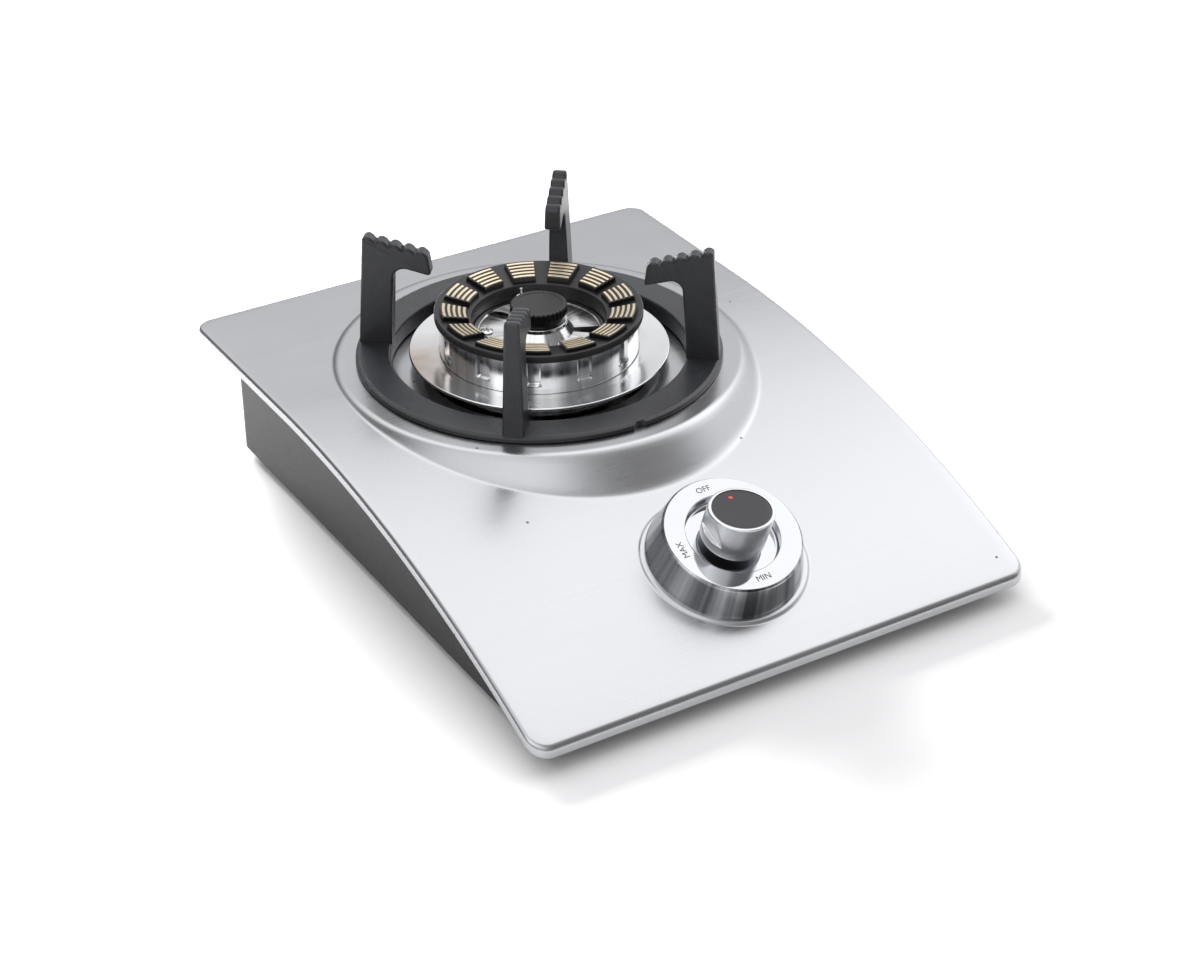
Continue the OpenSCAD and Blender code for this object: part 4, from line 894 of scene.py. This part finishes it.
class WOK_OT_burner_head(bpy.types.Operator):
    """Polished head with flutes, an inner wall, a hub cone, spokes and their screws"""
    bl_idname = "wok.burner_head"
    bl_label = "Burner head"

    def execute(self, context):
        s = layout(context)
        base, r, bore, wall_r = s.well_z - s.head_sink, s.head_r, s.bore_r, s.bore_r + s.bore_wall
        shoulder, wide = s.land_z + s.shoulder_h, r + s.shoulder_w
        floor, groove, wall_top = base + 3, r - s.head_wall, s.spoke_z + s.spoke_t + 0.6
        flute_rows = np.linspace(s.drip_z + 1, s.drip_z + 6, 11)
        wall_z = np.concatenate([flute_rows, [s.drip_z + 11, s.head_z - 1.0]])
        outer = soften([(bore, base, 0.5), (wide, base, 0.5), (wide, shoulder, 0.3), (r, shoulder, 0.2)], 3)
        wall = np.stack([np.full(len(wall_z), r), wall_z], -1)
        inner = soften([(r, s.head_z, 0.0), (groove, s.head_z, 0.4), (groove, floor, 1.0),
                        (wall_r, floor, 1.0), (wall_r, wall_top, 0.6), (bore, wall_top, 0.6)], 3, closed=False)
        inner[0] = (r - 0.3, s.head_z)
        shell = Shell().grid(fluted_wall(s, np.concatenate([outer, wall, inner]), 432), torus=True)
        self.add_hub(s, shell, base)
        # the head's aluminium carries painted reflections in bands round its wall
        make_piece("burner_head_casting", shell, ["cast_aluminium"], "body", ["burner_head"],
                   angle=40)
        self.add_screws(s)
        return {"FINISHED"}

    def add_hub(self, s, shell, base):
        """Hub cone, three spoke plates and the tongue that holds the electrode."""
        flare, rim_r, seat_r, hole_r = s.hub_z - 2.0, 16.2, 12.5, s.hub_hole_r
        hub = soften([(hole_r, base, 0), (s.hub_r, base, 1.0), (s.flare_r, flare - 11, 1.4),
                      (rim_r - 0.5, flare - 0.4, 0.8), (rim_r, flare, 0.3), (rim_r, s.hub_z, 0.4),
                      (seat_r, s.hub_z, 0.3), (seat_r, s.spoke_z, 0.3), (hole_r, s.spoke_z, 0)], 4)
        shell.grid(revolve(hub, s.burner_y, 160), torus=True)
        low, high, near, far = s.spoke_z, s.spoke_z + s.spoke_t, 14.5, 35.6
        plate = soften([(near, low, 0), (far, low, 0), (far, high, 0), (near, high, 0)], 2)
        for middle, reach in ((153, 35), (21, 47), (-64, 23)):
            shell.solid(bar(plate, middle, reach, 25, s.burner_y))
        tip_r, half, round_r, tongue_t, edge, turn = 24.3, 5.0, 4.9, 3.0, 0.5, math.radians(80)
        tongue = soften([(tip_r, -half, round_r), (far, -half, 0), (far, half, 0), (tip_r, half, round_r)], 8)
        u, v, w = np.moveaxis(slab(tongue, lambda v: tongue_t + 0 * v, edge), -1, 0)
        shell.solid(swung(u, v, s.spoke_z - 0.5 + w, turn, s.burner_y))

    def add_screws(self, s):
        """Domed heads with a cross slot, on the spokes."""
        screws, t = Shell(), turn_steps(48)
        dome_h, dome_r, sink, cut, lift = 1.9, 4.4, 0.35, 0.9, 0.05
        radius = np.array([0.25, 0.5, 0.75, 1.0, 1.3, 1.6, 1.9, 2.2, 2.5, 2.9, 3.3, 3.6, 3.8, 3.8, 3.8])
        radius = radius[:, None]
        top = dome_h * np.sqrt(np.maximum(1 - (radius / dome_r) ** 2, 0)) - sink
        top[-2:] = [[0.3], [0.0]]
        u, v = np.abs(radius * np.cos(t)), np.abs(radius * np.sin(t))
        slot = (1 - ramp(np.minimum(u, v), 0.3, 0.65)) * (1 - ramp(np.maximum(u, v), 1.9, 2.3))
        head = around(radius, t, s.spoke_z + s.spoke_t + lift + top - cut * slot, s.burner_y)
        spot = 0.5 * (s.flare_r + s.bore_r)
        for a in np.radians((155, -74)):
            screws.solid(head + spot * np.array((math.cos(a), math.sin(a), 0.0)))
        make_piece("spoke_screw_heads", screws, ["bright_steel"], "body", ["spoke_screws"],
                   angle=60, even=False)


def cone(s, r):
    """Height of the strips' tops, on a shallow cone that rises outwards past the crown's top."""
    start, slope = -1.0, 0.195
    return s.crown_top + start + slope * (r - s.strip_in_r)


class WOK_OT_burner_crown(bpy.types.Operator):
    """Black dished crown with raised port blocks and bare metal strips"""
    bl_idname = "wok.burner_crown"
    bl_label = "Burner crown"

    def execute(self, context):
        s = layout(context)
        z, top, skirt, low = s.crown_z, s.crown_top, s.crown_z - s.crown_skirt, s.crown_z - s.crown_bore
        inner, outer = s.crown_in_r, s.head_r - s.head_wall - s.fit_gap
        bore, groove, lip_r, dish = inner + 1.8, outer - s.crown_wall, 57.3, 5.0
        profile = soften([(inner, low, 0.3), (bore, low, 0.3), (bore, z - 2.6, 0.2), (groove, z, 0.2),
                          (groove, skirt, 0.3), (outer, skirt, 0.3), (outer, z, 0.2), (s.crown_r, z, 0.5),
                          (s.crown_r, top, 1.0), (lip_r, top - 0.2, 0.8), (inner, top - dish, 1.0)], 4)
        shell = Shell().grid(revolve(profile, s.burner_y), torus=True)
        first, last, sink, root = 40.4, 55.3, 0.45, 1.5
        block_reach, strip_reach, steps = 9.4, 8.5, 9
        block = soften([(first, top - 5.2, 0), (last, top - 2.0, 0), (last, cone(s, last) - sink, 0.5),
                        (first, cone(s, first) - sink, 0.5)], 3)
        for k in range(s.ports):
            middle = s.port_turn + 360 * k / s.ports
            shell.solid(bar(block, middle, block_reach, steps, s.burner_y))
            for i in range(s.strips):
                near = s.strip_in_r + s.strip_pitch * i
                far = near + s.strip_w
                strip = soften([(near, cone(s, near) - root, 0), (far, cone(s, far) - root, 0),
                                (far, cone(s, far), 0.3), (near, cone(s, near), 0.3)], 3)
                shell.solid(bar(strip, middle, strip_reach, steps, s.burner_y), slot=1)
        make_piece("burner_crown_casting", shell, ["crown_black", "strip_brass"], "crown",
                   ["burner_crown"])
        return {"FINISHED"}


class WOK_OT_inner_cap(bpy.types.Operator):
    """Black cap with a knurled edge"""
    bl_idname = "wok.inner_cap"
    bl_label = "Inner cap"

    def execute(self, context):
        s = layout(context)
        z, r, top = s.cap_z, s.cap_r, s.cap_z + s.cap_h
        bore_r, neck_r, seat_r, recess_r, tooth = 10.2, 12.2, 14.4, 12.9, 0.65
        low, band, recess = z - 7.0, z + 4, top - 0.35
        profile = soften([(bore_r, z, 0), (bore_r, low, 0), (neck_r, low, 0.3), (neck_r, z, 0),
                          (seat_r, z, 0.3), (seat_r, band, 0.5), (r, band, 0.4), (r, top, 1.1),
                          (recess_r + 0.3, top, 0.2), (recess_r, recess, 0.2), (11.5, recess, 0)],
                         4, closed=False)
        t = turn_steps(432)
        teeth = tooth * ramp(profile[:, :1], r - 1.2, r - 0.3) * ramp(np.cos(s.cap_teeth * t), 0.35, 0.85)
        shell = Shell().solid(around(profile[:, :1] - teeth, t, profile[:, 1:], s.burner_y))
        make_piece("inner_cap_casting", shell, ["crown_black"], "cap", ["inner_cap"])
        return {"FINISHED"}


# Dial and knob

def dial_word(context, s, word, angle, up):
    """A printed word on the dial's face: the font's own outline, made a mesh, then set in the dial's plane."""
    curve = bpy.data.curves.new("label_" + word.lower(), "FONT")
    curve.body = word
    curve.size = s.label_size
    curve.align_x = "CENTER"
    curve.align_y = "CENTER"
    curve.extrude = s.label_t
    curve.resolution_u = 4
    holder = bpy.data.objects.new("label_holder", curve)
    context.scene.collection.objects.link(holder)
    context.view_layer.update()
    mesh = bpy.data.meshes.new_from_object(holder.evaluated_get(context.evaluated_depsgraph_get()))
    bpy.data.objects.remove(holder)
    bpy.data.curves.remove(curve)
    co = np.zeros(len(mesh.vertices) * 3)
    mesh.vertices.foreach_get("co", co)
    co = co.reshape(-1, 3)
    spot = s.label_r * np.array((math.cos(angle), math.sin(angle)))
    right = np.array((up[1], -up[0]))
    flat = spot + co[:, :1] * right + co[:, 1:2] * np.array(up)
    world = to_dial(s, np.stack([flat[:, 0], flat[:, 1], s.bezel_h + s.label_lift + co[:, 2]], -1)) * MM
    mesh.vertices.foreach_set("co", world.ravel())
    mesh.update()
    mesh.materials.clear()
    mesh.materials.append(finish(context, "label_ink"))
    piece = bpy.data.objects.new("label_" + word.lower(), mesh)
    context.scene.collection.objects.link(piece)
    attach(piece, "body")


class WOK_OT_dial_ring(bpy.types.Operator):
    """Chrome dial ring with three printed words"""
    bl_idname = "wok.dial_ring"
    bl_label = "Dial ring"

    def execute(self, context):
        s = layout(context)
        foot, top, well, wide, foot_r = -5.6, s.bezel_h, s.dial_well_r, s.bezel_top_r, s.bezel_foot_r
        t, hole_r, floor = 2.0, 8.0, s.dial_floor
        flank = soften([(foot_r - t, foot, 0), (foot_r, foot, 0), (foot_r, 0.3, 0.8),
                        (wide + 0.2, top - 1.2, 1.5), (wide - 1.0, top, 0)], 6, closed=False)
        face = soften([(wide - 1.0, top, 0), (well, top, 0.7), (well - 0.3, floor, 1.2), (hole_r, floor, 0),
                       (hole_r, floor - t, 0), (well + t, floor - t, 0), (well + t, top - t, 0),
                       (wide - t, top - t, 0), (foot_r - t, 0, 0), (foot_r - t, foot, 0)], 6, closed=False)
        # the flank (slot 1) carries painted reflections in its base colour
        shell = Shell().grid(to_dial(s, revolve(flank)), slot=1).grid(to_dial(s, revolve(face)))
        make_piece("dial_ring_casting", shell, ["mirror_chrome", "spun_chrome"], "body", ["dial_ring"])
        dial_word(context, s, "OFF", math.pi / 2, (0, 1))
        dial_word(context, s, "MAX", math.pi, (-1, 0))
        dial_word(context, s, "MIN", -math.pi / 2, (0, 1))
        return {"FINISHED"}


class WOK_OT_knob(bpy.types.Operator):
    """Satin knob with a sloped top, two side flats, a dark lens and a red mark"""
    bl_idname = "wok.knob"
    bl_label = "Knob"

    def execute(self, context):
        s = layout(context)
        t = turn_steps(320)
        foot, top, round_r, edge = s.knob_foot, s.knob_top_h, s.knob_r, 1.0
        ledge, run_out, upper = foot + 7.0, top - 1.0, top - 7.0
        slope = lambda y: top - y * s.top_slope
        sloped = lambda q, drop: around(q, t, slope(q * np.sin(t)) - drop)
        turn = np.linspace(0, np.pi / 2, 5)
        low = np.concatenate([foot + edge - np.cos(turn), np.linspace(foot + 2, ledge - 0.6, 6),
                              np.linspace(ledge - 0.4, ledge + 0.6, 9), np.linspace(ledge + 1.2, upper, 6)])
        share = np.linspace(0, 1, 12)[1:, None]
        shoulder = slope(round_r * np.sin(t)) - edge
        h = np.concatenate([low[:, None] + 0 * t, upper + (shoulder - upper) * share])
        body_r = np.full((len(h), 1), round_r)
        body_r[:5, 0] = round_r - edge + np.sin(turn)
        flat = s.knob_grip + (round_r - s.knob_grip) * np.clip((h - ledge) / (run_out - ledge), 0, 1)
        flat = flat + np.clip(ledge - h, 0, None) * 8 + np.clip(h - run_out, 0, None)
        r = soft_min(body_r + 0 * t, np.minimum(flat / np.maximum(np.abs(np.cos(t)), 1e-3), 1e3), 0.35)
        a = np.linspace(0, np.pi / 2, 6)[1:, None]
        rows = [around(r, t, h), sloped(r[-1] - edge * (1 - np.cos(a)), edge - np.sin(a))]
        groove = ((1.75, 0.0), (1.88, 0.1), (1.9, 0.7))
        rows += [sloped(round_r - inset, drop)[None] for inset, drop in groove]
        shell = Shell().solid(to_dial(s, np.concatenate(rows)))
        make_piece("knob_grip", shell, ["satin_chrome"], "knob", ["knob"], angle=40)

        lens_r, mark_y = round_r - 1.95, 10.1
        share = np.array([0.06, 0.2, 0.4, 0.6, 0.8, 0.92, 0.98, 1.0])[:, None]
        dome = lambda part: 0.3 * (1 - part ** 2) - 0.25 - 0.15 * ramp(part, 0.94, 1.0)
        face = sloped(lens_r * share, -dome(share))
        skirt = face[-1:] - np.array((0, 0, 0.6))
        shell = Shell().solid(to_dial(s, np.concatenate([face, skirt])))
        make_piece("knob_lens", shell, ["dark_inlay"], "knob", ["knob_inlay"], angle=50,
                   even=False)

        u = turn_steps(40)
        dot = np.array([(1.15, -0.3), (1.15, 0.02), (1.0, 0.12), (0.6, 0.2), (0.15, 0.22)])
        y = mark_y + dot[:, :1] * np.sin(u)
        height = slope(y) + dome(mark_y / lens_r) + dot[:, 1:]
        shell = Shell().solid(to_dial(s, around(dot[:, :1], u, height, mark_y)))
        make_piece("knob_red_mark", shell, ["red_mark"], "knob", ["knob_pointer"], angle=60,
                   even=False)
        return {"FINISHED"}


class WOK_OT_soft_parts(bpy.types.Operator):
    """Round igniter lead and valve spring"""
    bl_idname = "wok.soft_parts"
    bl_label = "Lead and spring"

    def execute(self, context):
        s = layout(context)
        b, k = s.burner_y, s.knob_y
        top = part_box("igniter_lead")[1][2] / MM
        lead_r, coil_r, wire_r, turns, coil_foot, coil_h = 1.4, 5.2, 0.4, 4, 3.55, 5.8
        route = np.array([[5.088, b + 28.855, top], [5.088, b + 28.855, 62], [0, b + 31, 48],
                          [-22, b + 25, 34], [-34, b + 1, 24], [-36, b - 39, 17], [-36, (b + k) / 2, 14],
                          [-36, k + 33, 13], [-36, k - 2, 13], [-34, k - 17, 15], [-26, k - 24.03, 16.55],
                          [-16.05, k - 24.03, 16.55]])
        make_piece("igniter_lead_round", Shell().solid(tube(route, lead_r)), ["lead_rubber"], "body",
                   ["igniter_lead"], angle=60, even=False)
        a = np.linspace(0, 2 * np.pi * turns, 24 * turns + 1)
        coil = around(coil_r, a, coil_foot + coil_h * a / a[-1])
        shell = Shell().solid(to_dial(s, tube(coil, wire_r, 10, 2)))
        spring = make_piece("return_spring_round", shell, ["bright_steel"], "body", ["return_spring"],
                            angle=60, even=False)
        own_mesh(spring)
        return {"FINISHED"}


class WOK_OT_dress_nodes(bpy.types.Operator):
    """Finishes on the CAD parts that stay as they are"""
    bl_idname = "wok.dress_nodes"
    bl_label = "Plain parts"

    def execute(self, context):
        for row in frame["record"]["subparts"]:
            node = frame["nodes"][row["node"]]
            if node.hide_render:
                continue
            key = "crown_black" if row["material_slot"] == "black_brass" else row["material_slot"]
            node.data.materials.clear()
            node.data.materials.append(finish(context, key))
        return {"FINISHED"}


# Stage

# Soft lights of the studio: direction, cosines where the light starts and is full, and level
SOFT_LIGHTS = (
    ((0.441, 0.512, 0.737), 0.58, 0.87, 1.68),  # wide, at the far right
    ((-0.51, -0.22, 0.83), 0.78, 0.94, 1.2),  # on the left
    ((-0.45, -0.72, 0.53), 0.84, 0.95, 1.6),  # at the camera
    ((0.93, 0.10, 0.35), 0.76, 0.95, 2.6),  # low on the right
)


def studio_world(scene):
    """Pale grey sky, a little brighter overhead, with soft lights that fade towards the horizon."""
    world = bpy.data.worlds.new("studio")
    world.use_nodes = True
    tree = world.node_tree
    tree.nodes.clear()
    way = tree.nodes.new("ShaderNodeTexCoord").outputs["Generated"]
    up = add(tree, "ShaderNodeSeparateXYZ", {0: way}).outputs[2]
    sky = tree.nodes.new("ShaderNodeValToRGB")
    tree.links.new(up, sky.inputs[0])
    stops = [(0.0, 0.17), (0.3, 0.18), (0.7, 0.22), (1.0, 0.40)]
    while len(sky.color_ramp.elements) < len(stops):
        sky.color_ramp.elements.new(0.5)
    for element, (at, level) in zip(sky.color_ramp.elements, stops):
        element.position = at
        element.color = (level, level, level * 1.01, 1.0)
    lit = sky.outputs[0]
    height = spread(tree, up, 0.46, 0.76, 0.36, 1.0)
    for axis, edge, full, level in SOFT_LIGHTS:
        near = soft_step(tree, vector_calc(tree, "DOT_PRODUCT", way, axis)["Value"], edge, full)
        lit = blend_colour(tree, calc(tree, "MULTIPLY", near, height), lit, (level, level, level * 1.015))
    studio = add(tree, "ShaderNodeBackground", {0: lit, 1: 1.0})
    out = tree.nodes.new("ShaderNodeOutputWorld")
    tree.links.new(studio.outputs[0], out.inputs[0])
    scene.world = world


def floor_finish():
    """Pale floor: diffuse white, lifted a little where the camera, a reflection or glass sees it."""
    material = bpy.data.materials.new("pale_floor")
    material.use_nodes = True
    tree = material.node_tree
    tree.nodes.clear()
    diffuse = add(tree, "ShaderNodeBsdfDiffuse", {0: (0.80, 0.80, 0.80, 1.0)})
    glow = add(tree, "ShaderNodeEmission", {0: (1.0, 1.0, 1.0, 1.0)})
    seen = tree.nodes.new("ShaderNodeLightPath")
    rays = [seen.outputs[kind] for kind in ("Is Camera Ray", "Is Glossy Ray", "Is Transmission Ray")]
    some = calc(tree, "MAXIMUM", calc(tree, "MAXIMUM", rays[0], rays[1]), rays[2])
    tree.links.new(calc(tree, "MULTIPLY", some, 0.04), glow.inputs[1])
    both = add(tree, "ShaderNodeAddShader", {0: diffuse.outputs[0], 1: glow.outputs[0]})
    out = tree.nodes.new("ShaderNodeOutputMaterial")
    tree.links.new(both.outputs[0], out.inputs[0])
    return material


def soft_lamp(name, place, aim, size, power):
    """A square area lamp turned to its aim."""
    lamp = bpy.data.lights.new(name, "AREA")
    lamp.size = size
    lamp.energy = power
    obj = bpy.data.objects.new(name, lamp)
    bpy.context.scene.collection.objects.link(obj)
    obj.location = place
    obj.rotation_euler = (Vector(aim) - Vector(place)).to_track_quat("-Z", "Y").to_euler()
    return obj


class WOK_OT_stage(bpy.types.Operator):
    """Pale floor, soft light and the camera"""
    bl_idname = "wok.stage"
    bl_label = "Stage"

    def execute(self, context):
        scene = context.scene
        scene.view_settings.view_transform = "Standard"
        studio_world(scene)
        reach, low = 40.0, -0.0003
        mesh = bpy.data.meshes.new("studio_floor")
        corners = [(x * reach, y * reach, low) for x, y in ((-1, -1), (1, -1), (1, 1), (-1, 1))]
        mesh.from_pydata(corners, [], [(0, 1, 2, 3)])
        mesh.materials.append(floor_finish())
        floor = bpy.data.objects.new("studio_floor", mesh)
        scene.collection.objects.link(floor)
        key = soft_lamp("back_key", place=(-0.05, 1.6, 0.80), aim=(0.0, 0.0, 0.02), size=0.7, power=58.0)
        key.visible_glossy = False
        soft_lamp("left_fill", place=(-1.5, -0.5, 0.9), aim=(0.0, 0.0, 0.05), size=0.9, power=2.2)
        self.set_camera(scene)
        return {"FINISHED"}

    def set_camera(self, scene):
        """The photo's camera, solved from the panel's edges and the burner's circles."""
        turn_angles = (-31.009, 31.2705, -0.5003)
        target, away = (-0.0013325, -0.0098153, 0.0248952), 1.4520486
        focal_px, photo_px = 2588.8975, 1200
        az, el, roll = (math.radians(v) for v in turn_angles)
        back = Vector((math.sin(az) * math.cos(el), -math.cos(az) * math.cos(el), math.sin(el)))
        right = Vector((math.cos(az), math.sin(az), 0.0))
        up = back.cross(right)
        r = right * math.cos(roll) + up * math.sin(roll)
        u = up * math.cos(roll) - right * math.sin(roll)
        lens = bpy.data.cameras.new("photo_camera")
        lens.sensor_width = 36.0
        lens.sensor_fit = "HORIZONTAL"
        lens.lens = focal_px / photo_px * lens.sensor_width
        lens.clip_start = 0.05
        camera = bpy.data.objects.new("photo_camera", lens)
        scene.collection.objects.link(camera)
        place = Vector(target) + back * away
        camera.matrix_world = Matrix(((r.x, u.x, back.x, place.x), (r.y, u.y, back.y, place.y),
                                      (r.z, u.z, back.z, place.z), (0, 0, 0, 1)))
        scene.camera = camera


STEPS = (WOK_OT_top_panel, WOK_OT_pan_support, WOK_OT_drip_ring, WOK_OT_burner_head, WOK_OT_burner_crown,
         WOK_OT_inner_cap, WOK_OT_dial_ring, WOK_OT_knob, WOK_OT_soft_parts, WOK_OT_dress_nodes, WOK_OT_stage)


class WOK_PT_panel(bpy.types.Panel):
    """Lists the burner's pieces and the sizes and colours they use"""
    bl_label = "Wok burner"
    bl_idname = "WOK_PT_panel"
    bl_space_type = "VIEW_3D"
    bl_region_type = "UI"
    bl_category = "Wok burner"

    def draw(self, context):
        for step in STEPS:
            self.layout.operator(step.bl_idname)
        for group in (context.scene.wok_sizes, context.scene.wok_colours):
            for key in group.__annotations__:
                self.layout.prop(group, key)


CLASSES = (WokSizes, WokColours) + STEPS + (WOK_PT_panel,)


def register():
    for one in CLASSES:
        bpy.utils.register_class(one)
    bpy.types.Scene.wok_sizes = bpy.props.PointerProperty(type=WokSizes)
    bpy.types.Scene.wok_colours = bpy.props.PointerProperty(type=WokColours)


def unregister():
    del bpy.types.Scene.wok_colours
    del bpy.types.Scene.wok_sizes
    for one in reversed(CLASSES):
        bpy.utils.unregister_class(one)


def main():
    register()
    for step in STEPS:
        area, name = step.bl_idname.split(".")
        if "FINISHED" not in getattr(getattr(bpy.ops, area), name)():
            raise RuntimeError(step.bl_label + " didn't finish")


if __name__ == "__main__":
    main()
